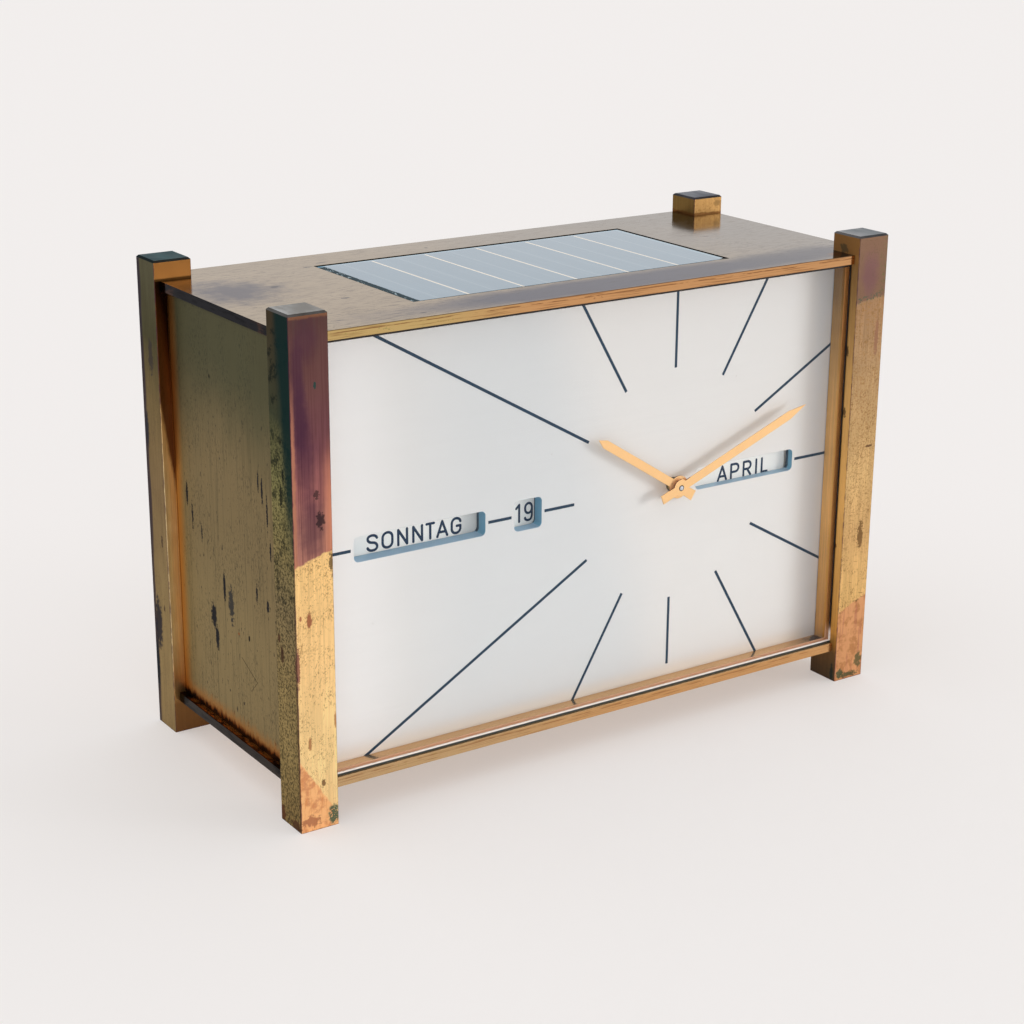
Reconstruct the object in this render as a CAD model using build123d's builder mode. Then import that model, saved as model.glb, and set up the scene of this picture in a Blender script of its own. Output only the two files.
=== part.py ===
from build123d import *
import math
import os

# A desk clock with calendar: four square posts carry two plates, glass in front, metal
# panels at the sides and back. Millimetres. X runs to the right as the dial is read,
# Y to the back, Z up. The origin is on the table under the middle of the case.
# The hands stand at about eleven past ten.

# ---- Case ----
case_width = 212.0
case_depth = 94.0
case_height = 149.0
post_side = 12.0
post_edge = 0.6
plate_thickness = 2.8
plate_setback = 1.8
foot_height = 10.4
post_stub = 6.0
tongue = 6.0
notch_gap = 0.25
panel_thickness = 2.0
panel_recess = 3.8
panel_tongue = 1.4
fit_gap = 0.1

# ---- Front glass, its seal and the dial ----
glass_recess = 3.5
glass_thickness = 1.5
glass_bite = 1.2
seal_wall = 0.4
seal_lip = 0.5
dial_recess = 10.7
dial_thickness = 3.0
marker_width = 0.9
marker_height = 0.06
marker_start = 37.1
marker_gap = 1.0
six_marker_end = 59.7

# ---- Solar panel in the top plate ----
solar_length = 114.0
solar_shift = 0.8
solar_front_margin = 19.0
solar_rear_margin = 17.0
solar_gap = 0.6
solar_glass_thickness = 1.4
solar_sink = 0.2
cell_line = 0.6
cell_count = 6
tray_pocket = 0.6
tray_wall = 3.0
tray_floor = 1.0

# ---- Calendar windows and the cards behind them ----
day_window_margin = 12.5
day_window_height = 7.6
day_date_gap = 10.1
date_window_height = 9.5
month_window_start = 9.2
month_window_height = 7.1
window_corner = 1.5
window_frame_wall = 0.5
month_depth = 3.3
date_depth = 4.4
day_depth = 5.1
card_thickness = 0.5
frame_card_gap = 0.4
frame_disc_gap = 0.2
card_reveal = 0.5
card_overhang = 0.6
disc_tube_gap = 0.4
month_radius = 48.2
ring_margin = 3.5
ring_overhang = 1.3
date_band = 14.0
month_star = 9.0
month_notch = 1.6
date_notch = 1.5
day_star = 12.0
day_notch = 3.4
corrector_hole_inset = 6.0
star_thickness = 0.8
day_star_thickness = 1.2

# ---- Fits ----
running = 0.05
clear = 0.3

# ---- Hands ----
minute_angle = 68.7
hour_angle = 302.7
minute_length = 52.9
minute_width = 2.8
minute_point = 7.0
minute_tail = 7.7
minute_tail_flare = 0.1
minute_hub = 2.7
hour_length = 36.6
hour_width = 2.7
hour_point = 3.0
hour_tail = 6.9
hour_tail_flare = 0.7
hour_hub = 3.6
hand_thickness = 0.4
hand_chamfer = 0.1
minute_hand_recess = 6.0
hour_hand_recess = 7.2

# ---- Arbors on the hand axis, by radius ----
arbor_radius = 0.65
cannon_seat = 0.95
cannon_radius = 1.3
hour_pipe_radius = 2.0
tube_radius = 3.2
tube_flange = 5.0
tube_seat = 4.0
stud_radius = 0.8
dial_hole = 2.3

# ---- Wheels ----
gear_module = 0.4
pressure_angle = math.radians(20)
addendum = 0.8
dedendum = 1.15
backlash = 0.2
wheel_thickness = 0.8
cannon_teeth = 15
minute_wheel_teeth = 45
minute_pinion_teeth = 12
hour_wheel_teeth = 48
day_wheel_teeth = 96
barrel_teeth = 84
centre_pinion_teeth = 12
centre_wheel_teeth = 80
third_pinion_teeth = 10
third_wheel_teeth = 75
fourth_pinion_teeth = 10
fourth_wheel_teeth = 64
escape_pinion_teeth = 8
escape_teeth = 15
winding_teeth = 102
motor_pinion_teeth = 12
escape_radius = 4.8
escape_root = 3.5
escape_thickness = 0.5
escape_tip_share = 0.35
escape_back_share = 0.45
cannon_width = 1.2
cannon_plate_gap = 1.2
hour_wheel_gap = 0.4
hour_wheel_hub = 3.5
minute_wheel_hub = 2.8
day_wheel_hub = 3.0
centre_wheel_hub = 2.5
train_hub = 2.2
train_boss = 1.8
escape_hub = 1.4
hub_proud = 0.3
small_rim = 1.0
train_rim = 1.6
large_rim = 2.0
day_arbor = 1.0
day_collar = 2.6
day_collar_proud = 0.5
day_pivot_hole = 1.2
finger_hub = 2.2
finger_half_width = 1.2
date_finger_angle = -40.0
day_finger_angle = 130.0

# ---- Guides and jumpers of the calendar ----
guide_neck = 1.6
guide_flange = 2.6
guide_clearance = 0.15
guide_play = 0.2
guide_head = 0.9
guide_angles = (-110, -30, 30, 110)
jumper_width = 1.6
jumper_pin = 1.2
month_jumper_length = 11.0
date_jumper_length = 12.0
day_jumper_length = 14.0

# ---- Movement ----
chassis_gap = 5.3
chassis_thickness = 2.0
chassis_margin = 0.8
chassis_top_gap = 1.2
spacer_radius = 2.5
foot_inset = 6.0
motion_space = 4.5
plate_space = 21.5
movement_plate = 2.0
movement_left = 51.4
movement_right = 44.6
movement_below = 34.6
movement_above = 35.4
pillar_radius = 2.5
pillar_inset = 4.0
pivot_radius = 0.5
pivot_length = 1.0
shoulder_gap = 0.2
shaft_radius = 0.8
fine_arbor = 0.6
pinion_overlap = 0.5
drum_gap = 0.7
centre_wheel_gap = 1.0
third_wheel_gap = 2.2
fourth_wheel_gap = 2.0
escape_wheel_gap = 3.6
drum_radius = 14.0
drum_wall = 1.0
drum_height = 10.4
barrel_core = 3.0
barrel_shaft = 1.5
spring_coils = 9
spring_thickness = 0.3
spring_end_gap = 0.5
points_per_turn = 12
winding_gap = 0.5
motor_radius = 8.0
motor_length = 9.0
motor_shaft = 6.0
motor_chamfer = 0.8
balance_radius = 9.0
balance_rim = 1.2
balance_thickness = 1.4
balance_gap = 3.0
balance_hub = 1.2
roller_radius = 1.5
arm_width = 1.2
arm_thickness = 0.6
pallet_distance = 6.6
balance_distance = 10.6
pallet_clearance = 0.7
pallet_width = 0.5
pallet_angle = math.radians(40)
lever_hub = 1.1
lever_arm = 0.9
fork_gap = 2.0
fork_half_width = 0.8
hairspring_gap = 1.0
hairspring_height = 0.5
hairspring_inner = 1.2
hairspring_pitch = 0.7
hairspring_coils = 7
hairspring_thickness = 0.2
hairspring_stud = 0.5

# ---- Setting knob and push-pieces at the back ----
knob_radius = 8.0
knob_length = 3.3
knob_skin = 0.8
knob_chamfer = 0.6
knurl_count = 40
knurl_depth = 0.6
knurl_width = 0.5
setting_shaft = 1.2
pusher_radius = 1.2
pusher_head = 3.0
pusher_head_length = 3.8
pusher_travel = 2.4
pusher_play = 0.2
pusher_chamfer = 0.4
tip_length = 1.5
tip_radius = 0.72
tip_clearance = 0.6
corrector_hole = 0.84
day_corrector_radius = 9.0
date_corrector_inset = 0.5
date_corrector_angle = -75.0
month_corrector_angle = -100.0
bush_radius = 4.4
bush_proud = 0.6
bush_length = 5.3
bush_floor = 1.5

# ---- Lugs and screws of the rear cover ----
lug_side = 8.0
lug_depth = 8.0
lug_inset = 10.0
screw_radius = 1.4
screw_head = 2.6
screw_head_height = 1.2
screw_length = 6.0
screw_slot = 0.5

# ---- Accumulator and wiring ----
cell_radius = 7.0
cell_length = 50.0
cell_edge = 0.8
cell_button = 2.0
cell_button_height = 1.0
accumulator_inset = 22.0
accumulator_lift = 10.0
clip_wall = 1.5
clip_width = 6.0
clip_inset = 8.0
board_thickness = 1.6
board_length = 36.0
board_height = 26.0
board_inset = 20.0
board_drop = 14.0
board_standoff = 2.0
standoff_radius = 2.0
terminal_inset = 4.0
terminal_radius = 1.5
terminal_height = 2.0
lead_radius = 0.5
tray_lead_drops = (6.0, 9.0)
tray_lead_shift = (6.0, 4.0)
tray_lead_bend = 2.5
accumulator_lead_bend = 4.0
lead_end_gaps = (3.0, 3.5)
lead_turn_heights = (16.0, 8.0)

# ---- Places worked out from the sizes above ----
inner_x = case_width / 2 - post_side
inner_y = case_depth / 2 - post_side
front = -case_depth / 2
floor_z = foot_height + plate_thickness
ceiling_z = case_height - post_stub - plate_thickness
crown_z = case_height - post_stub
middle_z = (floor_z + ceiling_z) / 2
hand_axis = (inner_x / 3, middle_z)
panel_x = case_width / 2 - panel_recess
panel_y = case_depth / 2 - panel_recess
glass_front = front + glass_recess
glass_back = glass_front + glass_thickness
dial_front = front + dial_recess
dial_back = dial_front + dial_thickness
month_front = dial_front + month_depth
date_front = dial_front + date_depth
day_front = dial_front + day_depth
month_back = month_front + card_thickness
date_back = date_front + card_thickness
day_back = day_front + card_thickness
chassis_front = dial_back + chassis_gap
chassis_back = chassis_front + chassis_thickness
plate_one_front = chassis_back + motion_space
plate_one_back = plate_one_front + movement_plate
plate_two_front = plate_one_back + plate_space
plate_two_back = plate_two_front + movement_plate
minute_hand_front = front + minute_hand_recess
hour_hand_front = front + hour_hand_recess
date_radius = (ceiling_z - floor_z) / 2 - ring_margin
date_inner = date_radius - date_band
date_left = ring_overhang - date_radius
date_right = -month_radius - frame_disc_gap - window_frame_wall
month_right = month_radius + card_reveal
day_left = -inner_x - hand_axis[0] + day_window_margin
day_right = date_left - day_date_gap
day_disc_left = hand_axis[0] + day_left - card_overhang
day_disc_right = hand_axis[0] - tube_flange - disc_tube_gap
day_radius = (day_disc_right - day_disc_left) / 2
day_axis = (day_disc_left + day_radius, hand_axis[1])
# Each window: left and right end measured from the hand axis, and height.
day_window = (day_left, day_right, day_window_height)
date_window = (date_left, date_right, date_window_height)
month_window = (month_window_start, month_right, month_window_height)
solar_x = (solar_shift - solar_length / 2, solar_shift + solar_length / 2)
solar_y = (front + solar_front_margin, case_depth / 2 - solar_rear_margin)
cell_pitch = solar_length / cell_count
cover_front = panel_y - panel_thickness

os.makedirs("parts", exist_ok=True)


def layer(depth):
    """Drawing plane parallel to the dial at this depth, seen from the front."""
    return Plane.XZ.offset(-depth)


def save(piece, name):
    """Label a finished piece and write it as one STEP file."""
    piece.part.label = name
    export_step(piece.part, f"parts/{name}.step")


def block(x_span, y_span, z_span, mode=Mode.ADD):
    """Add or cut a box given by its spans along the three axes."""
    with BuildSketch(Plane.XY.offset(z_span[0])) as outline:
        with Locations((sum(x_span) / 2, sum(y_span) / 2)):
            Rectangle(abs(x_span[1] - x_span[0]), abs(y_span[1] - y_span[0]))
    extrude(outline.sketch, amount=z_span[1] - z_span[0], mode=mode)


def turned(centre, steps, mode=Mode.ADD):
    """Add or cut round steps on an axis along Y: each is front, back and radius."""
    for step_front, step_back, radius in steps:
        with BuildSketch(layer(step_back)) as ring:
            with Locations(centre):
                Circle(radius)
        extrude(ring.sketch, amount=step_back - step_front, mode=mode)


def bored(centre, bore_front, bore_back, radius):
    """Cut one round hole along Y."""
    turned(centre, [(bore_front, bore_back, radius)], mode=Mode.SUBTRACT)


def polar(centre, radius, angle):
    """Point at a radius and an angle in radians from a centre in the dial's plane."""
    return (centre[0] + radius * math.cos(angle), centre[1] + radius * math.sin(angle))


def involute(angle):
    return math.tan(angle) - angle


def tooth_points(centre, teeth, phase):
    """Outline of a spur wheel with involute flanks, one tooth centred on the phase."""
    pitch_radius = gear_module * teeth / 2
    base_radius = pitch_radius * math.cos(pressure_angle)
    half_pitch_tooth = math.pi / (2 * teeth) * (1 - backlash)
    radii = [
        pitch_radius - dedendum * gear_module,
        pitch_radius,
        pitch_radius + addendum * gear_module,
    ]
    halves = []
    for radius in radii:
        flank = math.acos(min(1.0, base_radius / max(radius, base_radius)))
        halves.append(half_pitch_tooth + involute(pressure_angle) - involute(flank))
    points = []
    for tooth in range(teeth):
        middle = phase + 2 * math.pi * tooth / teeth
        for radius, half in zip(radii, halves):
            points.append(polar(centre, radius, middle - half))
        for radius, half in zip(reversed(radii), reversed(halves)):
            points.append(polar(centre, radius, middle + half))
    return points


def outline_prism(points, prism_front, prism_back, mode=Mode.ADD):
    """Add or cut a prism along Y whose section is a closed outline of straight sides."""
    with BuildSketch(layer(prism_back)) as section:
        with BuildLine():
            Polyline(points, close=True)
        make_face()
    extrude(section.sketch, amount=prism_back - prism_front, mode=mode)


def toothed(centre, teeth, phase, wheel_front, wheel_back):
    """Add a toothed disc."""
    outline_prism(tooth_points(centre, teeth, phase), wheel_front, wheel_back)


def crossed_out(centre, rim_radius, hub_radius, wheel_front, wheel_back, arms=5):
    """Cut round lightening holes between a wheel's hub and its rim."""
    hole_circle = (rim_radius + hub_radius) / 2
    hole_radius = min((rim_radius - hub_radius) / 2, hole_circle * math.sin(math.pi / arms)) * 0.78
    with BuildSketch(layer(wheel_back)) as holes:
        with Locations(centre):
            with PolarLocations(hole_circle, arms):
                Circle(hole_radius)
    extrude(holes.sketch, amount=wheel_back - wheel_front, mode=Mode.SUBTRACT)


def meshed(phase, teeth, follower_teeth, heading):
    """Phase that puts a follower in mesh with a wheel, lying at a heading from it."""
    pitch = 2 * math.pi / teeth
    lead = (heading - phase) % pitch
    gap = heading + math.pi + lead * teeth / follower_teeth
    return gap + math.pi / follower_teeth


def centre_distance(teeth, other_teeth):
    return gear_module * (teeth + other_teeth) / 2


# ---- Places of the arbors ----
down = math.radians(-90)
minute_wheel_axis = polar(hand_axis, centre_distance(cannon_teeth, minute_wheel_teeth), down)
setting_axis = polar(minute_wheel_axis, centre_distance(minute_wheel_teeth, cannon_teeth), down)
date_heading = math.radians(30)
date_drive_axis = polar(
    hand_axis, centre_distance(hour_wheel_teeth, day_wheel_teeth), date_heading
)
day_heading = math.pi
day_drive_axis = polar(hand_axis, centre_distance(hour_wheel_teeth, day_wheel_teeth), day_heading)
barrel_heading = math.radians(150)
barrel_axis = polar(hand_axis, centre_distance(barrel_teeth, centre_pinion_teeth), barrel_heading)
third_heading = math.radians(60)
third_axis = polar(
    hand_axis, centre_distance(centre_wheel_teeth, third_pinion_teeth), third_heading
)
fourth_heading = math.radians(-30)
fourth_axis = polar(
    third_axis, centre_distance(third_wheel_teeth, fourth_pinion_teeth), fourth_heading
)
escape_heading = math.radians(-100)
escape_axis = polar(
    fourth_axis, centre_distance(fourth_wheel_teeth, escape_pinion_teeth), escape_heading
)
lever_heading = math.radians(-60)
lever_axis = polar(escape_axis, pallet_distance, lever_heading)
balance_axis = polar(lever_axis, balance_distance, lever_heading)
motor_heading = math.pi
motor_axis = polar(barrel_axis, centre_distance(winding_teeth, motor_pinion_teeth), motor_heading)
corrector_circle = date_inner + date_corrector_inset
day_pusher_axis = (day_axis[0] - day_corrector_radius, day_axis[1])
date_pusher_axis = polar(hand_axis, corrector_circle, math.radians(date_corrector_angle))
month_pusher_axis = polar(
    hand_axis, month_radius - corrector_hole_inset, math.radians(month_corrector_angle)
)
pillar_places = [
    (hand_axis[0] - movement_left + pillar_inset, hand_axis[1] - movement_below + pillar_inset),
    (hand_axis[0] + movement_right - pillar_inset, hand_axis[1] - movement_below + pillar_inset),
    (hand_axis[0] - movement_left + pillar_inset, hand_axis[1] + movement_above - pillar_inset),
    (hand_axis[0] + movement_right - pillar_inset, hand_axis[1] + movement_above - pillar_inset),
]

# ---- Posts: square bars that are also the feet ----


def make_post(name, side_x, side_y):
    """One corner post, pocketed for the plates' tongues and grooved for panel and glass."""
    with BuildPart() as post:
        corner = (side_x * case_width / 2, side_y * case_depth / 2)
        inner = (side_x * inner_x, side_y * inner_y)
        block((inner[0], corner[0]), (inner[1], corner[1]), (0, case_height))
        chamfer(post.edges().group_by(Axis.Z)[-1], length=post_edge)
        fillet(post.edges().filter_by(Axis.Z), radius=post_edge / 2)
        for level in (foot_height, ceiling_z):
            block(
                (inner[0], side_x * (inner_x + tongue + fit_gap)),
                (inner[1], side_y * (inner_y + tongue + fit_gap)),
                (level, level + plate_thickness),
                mode=Mode.SUBTRACT,
            )
        block(
            (side_x * (panel_x - panel_thickness), side_x * panel_x),
            (inner[1], side_y * (inner_y + panel_tongue)),
            (floor_z, ceiling_z),
            mode=Mode.SUBTRACT,
        )
        if side_y < 0:
            block(
                (inner[0], side_x * (inner_x + glass_bite + seal_wall)),
                (glass_front - seal_wall, glass_back + seal_wall),
                (floor_z, ceiling_z),
                mode=Mode.SUBTRACT,
            )
    save(post, name)


for post_name, sx, sy in (
    ("post_front_left", -1, -1),
    ("post_front_right", 1, -1),
    ("post_rear_left", -1, 1),
    ("post_rear_right", 1, 1),
):
    make_post(post_name, sx, sy)


def plate_outline(level):
    """Case plate in plan: notched round the posts, with a tongue into each of them."""
    with BuildSketch(Plane.XY.offset(level)) as plan:
        Rectangle(case_width - 2 * plate_setback, case_depth - 2 * plate_setback)
        with GridLocations(case_width - post_side, case_depth - post_side, 2, 2):
            Rectangle(
                post_side + 2 * notch_gap, post_side + 2 * notch_gap, mode=Mode.SUBTRACT
            )
        with GridLocations(2 * inner_x, 2 * inner_y, 2, 2):
            Rectangle(2 * tongue, 2 * tongue)
    return plan.sketch


with BuildPart() as bottom_plate:
    extrude(plate_outline(foot_height), amount=plate_thickness)
save(bottom_plate, "bottom_plate")

with BuildPart() as top_plate:
    extrude(plate_outline(ceiling_z), amount=plate_thickness)
    block(solar_x, solar_y, (ceiling_z, crown_z), mode=Mode.SUBTRACT)
save(top_plate, "top_plate")

# ---- Panels ----
for panel_name, side in (("side_panel_left", -1), ("side_panel_right", 1)):
    with BuildPart() as side_panel:
        block(
            (side * (panel_x - panel_thickness), side * panel_x),
            (-inner_y - panel_tongue + fit_gap, inner_y + panel_tongue - fit_gap),
            (floor_z, ceiling_z),
        )
    save(side_panel, panel_name)

lug_places = [
    (sx * (inner_x - lug_side / 2), z)
    for sx in (-1, 1)
    for z in (floor_z + lug_inset, ceiling_z - lug_inset)
]

with BuildPart() as rear_cover:
    block(
        (-inner_x + fit_gap, inner_x - fit_gap),
        (cover_front, panel_y),
        (floor_z + fit_gap, ceiling_z - fit_gap),
    )
    for place in lug_places:
        bored(place, cover_front, panel_y, screw_radius + fit_gap)
    bored(setting_axis, cover_front, panel_y, setting_shaft + running)
    for place in (day_pusher_axis, date_pusher_axis, month_pusher_axis):
        bored(place, cover_front, panel_y, bush_radius)
save(rear_cover, "rear_cover")

with BuildPart() as cover_lugs:
    for place in lug_places:
        block(
            (place[0] - lug_side / 2, place[0] + lug_side / 2),
            (cover_front - lug_depth, cover_front),
            (place[1] - lug_side / 2, place[1] + lug_side / 2),
        )
        bored(place, cover_front - screw_length, cover_front, screw_radius)
save(cover_lugs, "cover_lugs")

with BuildPart() as rear_cover_screws:
    for place in lug_places:
        turned(
            place,
            [
                (cover_front - screw_length, panel_y, screw_radius),
                (panel_y, panel_y + screw_head_height, screw_head),
            ],
        )
        block(
            (place[0] - screw_head, place[0] + screw_head),
            (panel_y + screw_head_height / 2, panel_y + screw_head_height),
            (place[1] - screw_slot / 2, place[1] + screw_slot / 2),
            mode=Mode.SUBTRACT,
        )
save(rear_cover_screws, "rear_cover_screws")

# ---- Front glass in its seal ----
glass_x = inner_x + glass_bite
glass_low = floor_z + seal_wall
glass_high = ceiling_z - seal_wall

with BuildPart() as front_glass:
    block((-glass_x, glass_x), (glass_front, glass_back), (glass_low, glass_high))
save(front_glass, "front_glass")

with BuildPart() as glass_seal:
    block(
        (-glass_x - seal_wall, glass_x + seal_wall),
        (glass_front - seal_wall, glass_back + seal_wall),
        (floor_z, ceiling_z),
    )
    block(
        (-inner_x + seal_lip, inner_x - seal_lip),
        (glass_front - seal_wall, glass_back + seal_wall),
        (floor_z + seal_wall + seal_lip, ceiling_z - seal_wall - seal_lip),
        mode=Mode.SUBTRACT,
    )
    block(
        (-glass_x, glass_x), (glass_front, glass_back), (glass_low, glass_high), mode=Mode.SUBTRACT
    )
save(glass_seal, "glass_seal")

# ---- Solar panel ----
with BuildPart() as solar_glass:
    block(
        (solar_x[0] + solar_gap, solar_x[1] - solar_gap),
        (solar_y[0] + solar_gap, solar_y[1] - solar_gap),
        (crown_z - solar_sink - solar_glass_thickness, crown_z - solar_sink),
    )
save(solar_glass, "solar_glass")

cell_top = crown_z - solar_sink - solar_glass_thickness
cell_base = ceiling_z - tray_pocket
tray_low = cell_base - tray_floor

with BuildPart() as solar_cells:
    cell_y = (solar_y[0] + 2 * solar_gap, solar_y[1] - 2 * solar_gap)
    for index in range(cell_count):
        middle = solar_x[0] + (index + 1 / 2) * cell_pitch
        half = (cell_pitch - cell_line) / 2
        block((middle - half, middle + half), cell_y, (cell_base, cell_top))
save(solar_cells, "solar_cells")

with BuildPart() as solar_tray:
    block(
        (solar_x[0] - tray_wall, solar_x[1] + tray_wall),
        (solar_y[0] - tray_wall, solar_y[1] + tray_wall),
        (tray_low, ceiling_z),
    )
    block(solar_x, solar_y, (cell_base, ceiling_z), mode=Mode.SUBTRACT)
save(solar_tray, "solar_tray")


# ---- Dial ----
def window_outline(window, grow=0.0):
    """Sketch of one calendar window, grown on all sides."""
    with BuildSketch(layer(dial_back)) as opening:
        with Locations((hand_axis[0] + (window[0] + window[1]) / 2, hand_axis[1])):
            RectangleRounded(
                window[1] - window[0] + 2 * grow, window[2] + 2 * grow, window_corner + grow
            )
    return opening.sketch


with BuildPart() as dial_plate:
    block(
        (-inner_x + fit_gap, inner_x - fit_gap), (dial_front, dial_back), (floor_z, ceiling_z)
    )
    for window in (day_window, date_window, month_window):
        extrude(window_outline(window), amount=dial_thickness, mode=Mode.SUBTRACT)
    bored(hand_axis, dial_front, dial_back, dial_hole)
save(dial_plate, "dial_plate")

with BuildPart() as window_frames:
    for window, card_front in ((day_window, day_front), (date_window, date_front)):
        frame_depth = card_front - frame_card_gap - dial_back
        extrude(window_outline(window, window_frame_wall), amount=-frame_depth)
        extrude(window_outline(window), amount=-frame_depth, mode=Mode.SUBTRACT)
save(window_frames, "window_frames")


def hand_plane(depth, angle):
    """Plane on the hand axis whose x runs along a hand, angle in degrees past twelve."""
    heading = math.radians(90 - angle)
    return Plane(
        origin=(hand_axis[0], depth, hand_axis[1]),
        x_dir=(math.cos(heading), 0, math.sin(heading)),
        z_dir=(0, -1, 0),
    )


def marker_spans():
    """Start and end radius of each hour line, by hour; lines without an end run off the dial."""
    off_dial = case_width
    spans = [(hour, marker_start, off_dial) for hour in (1, 2, 4, 5, 7, 8, 10, 11, 12)]
    spans.append((3, month_right + marker_gap, off_dial))
    spans.append((6, marker_start, six_marker_end))
    spans.append((9, marker_start, -date_right - marker_gap))
    spans.append((9, -date_left + marker_gap, -day_right - marker_gap))
    spans.append((9, -day_left + marker_gap, off_dial))
    return spans


with BuildPart() as hour_markers:
    for hour, start, end in marker_spans():
        with BuildSketch(hand_plane(dial_front, 360 / 12 * hour)):
            with Locations(((start + end) / 2, 0)):
                Rectangle(end - start, marker_width)
        extrude(amount=marker_height)
    with BuildSketch(layer(dial_front)):
        with Locations((0, middle_z)):
            Rectangle(2 * (inner_x - fit_gap), ceiling_z - floor_z)
    extrude(amount=marker_height, mode=Mode.INTERSECT)
save(hour_markers, "hour_markers")


# ---- Hands ----
def make_hand(name, recess, angle, length, width, point, tail, flare, hub, bore):
    """A flat baton hand with a pointed end, a round hub and a flared tail."""
    with BuildPart() as hand:
        with BuildSketch(hand_plane(recess + hand_thickness, angle)):
            with BuildLine():
                Polyline(
                    (length, 0),
                    (length - point, width / 2),
                    (0, width / 2),
                    (-tail, width / 2 + flare / 2),
                    (-tail, -width / 2 - flare / 2),
                    (0, -width / 2),
                    (length - point, -width / 2),
                    close=True,
                )
            make_face()
            Circle(hub)
            Circle(bore, mode=Mode.SUBTRACT)
        extrude(amount=hand_thickness)
        outer = hand.faces().sort_by(Axis.Y)[0].outer_wire().edges()
        chamfer(outer, length=hand_chamfer)
    save(hand, name)


make_hand(
    "minute_hand",
    minute_hand_front,
    minute_angle,
    minute_length,
    minute_width,
    minute_point,
    minute_tail,
    minute_tail_flare,
    minute_hub,
    cannon_seat,
)
make_hand(
    "hour_hand",
    hour_hand_front,
    hour_angle,
    hour_length,
    hour_width,
    hour_point,
    hour_tail,
    hour_tail_flare,
    hour_hub,
    hour_pipe_radius,
)

# ---- Motion work: cannon pinion, minute wheel, hour wheel, setting wheel ----
cannon_back = plate_one_front - cannon_plate_gap
cannon_front = cannon_back - cannon_width
minute_wheel_front = cannon_front + (cannon_width - wheel_thickness) / 2
minute_wheel_back = minute_wheel_front + wheel_thickness
hour_wheel_front = chassis_back + hour_wheel_gap
hour_wheel_back = hour_wheel_front + wheel_thickness
cannon_phase = math.radians(90)
minute_wheel_phase = meshed(cannon_phase, cannon_teeth, minute_wheel_teeth, down)
setting_phase = meshed(minute_wheel_phase, minute_wheel_teeth, cannon_teeth, down)
minute_pinion_phase = 0.0
hour_wheel_phase = meshed(minute_pinion_phase, minute_pinion_teeth, hour_wheel_teeth, -down)
date_drive_phase = meshed(hour_wheel_phase, hour_wheel_teeth, day_wheel_teeth, date_heading)
day_drive_phase = meshed(hour_wheel_phase, hour_wheel_teeth, day_wheel_teeth, day_heading)

with BuildPart() as cannon_pinion:
    seat_front = minute_hand_front + hand_thickness / 2
    hand_back = minute_hand_front + hand_thickness
    turned(hand_axis, [(seat_front, hand_back, cannon_seat), (hand_back, cannon_back, cannon_radius)])
    toothed(hand_axis, cannon_teeth, cannon_phase, cannon_front, cannon_back)
    bored(hand_axis, seat_front, cannon_back, arbor_radius + running)
save(cannon_pinion, "cannon_pinion")

with BuildPart() as hour_wheel:
    turned(
        hand_axis,
        [
            (hour_hand_front, hour_wheel_front, hour_pipe_radius),
            (hour_wheel_front, hour_wheel_back + hub_proud, hour_wheel_hub),
        ],
    )
    toothed(hand_axis, hour_wheel_teeth, hour_wheel_phase, hour_wheel_front, hour_wheel_back)
    bored(hand_axis, hour_hand_front, hour_wheel_back + hub_proud, cannon_radius + running)
save(hour_wheel, "hour_wheel")

with BuildPart() as minute_wheel:
    toothed(
        minute_wheel_axis,
        minute_wheel_teeth,
        minute_wheel_phase,
        minute_wheel_front,
        minute_wheel_back,
    )
    crossed_out(
        minute_wheel_axis,
        gear_module * minute_wheel_teeth / 2 - small_rim,
        minute_wheel_hub,
        minute_wheel_front,
        minute_wheel_back,
    )
    toothed(
        minute_wheel_axis,
        minute_pinion_teeth,
        minute_pinion_phase,
        chassis_back + clear,
        minute_wheel_front,
    )
    bored(minute_wheel_axis, chassis_back, minute_wheel_back, stud_radius + running)
save(minute_wheel, "minute_wheel")

knob_front = panel_y + clear
knob_back = knob_front + knob_length

with BuildPart() as setting_arbor:
    toothed(setting_axis, cannon_teeth, setting_phase, cannon_front, cannon_back)
    turned(setting_axis, [(cannon_front, knob_back - knob_skin, setting_shaft)])
save(setting_arbor, "setting_arbor")

with BuildPart() as setting_knob:
    turned(setting_axis, [(knob_front, knob_back, knob_radius)])
    chamfer(setting_knob.edges().group_by(Axis.Y)[-1], length=knob_chamfer)
    with BuildSketch(layer(knob_back)) as knurl:
        with Locations(setting_axis):
            with PolarLocations(knob_radius, knurl_count):
                Rectangle(knurl_depth, knurl_width)
    extrude(knurl.sketch, amount=knob_length, mode=Mode.SUBTRACT)
    bored(setting_axis, knob_front, knob_back - knob_skin, setting_shaft)
save(setting_knob, "setting_knob")


def make_day_wheel(name, axis, phase, finger_front, finger_back, reach, point_at):
    """A wheel that turns once in 24 hours and carries the finger that moves a calendar disc."""
    with BuildPart() as wheel:
        toothed(axis, day_wheel_teeth, phase, hour_wheel_front, hour_wheel_back)
        rim = gear_module * day_wheel_teeth / 2 - large_rim
        crossed_out(axis, rim, day_wheel_hub, hour_wheel_front, hour_wheel_back)
        turned(
            axis,
            [
                (finger_front - fit_gap, plate_one_front + pivot_length, day_arbor),
                (hour_wheel_front, hour_wheel_back + day_collar_proud, day_collar),
                (finger_front, finger_back, finger_hub),
            ],
        )
        side = point_at + math.pi / 2
        outline_prism(
            [
                polar(axis, finger_half_width, side),
                polar(axis, reach, point_at),
                polar(axis, -finger_half_width, side),
            ],
            finger_front,
            finger_back,
        )
    save(wheel, name)


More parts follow.
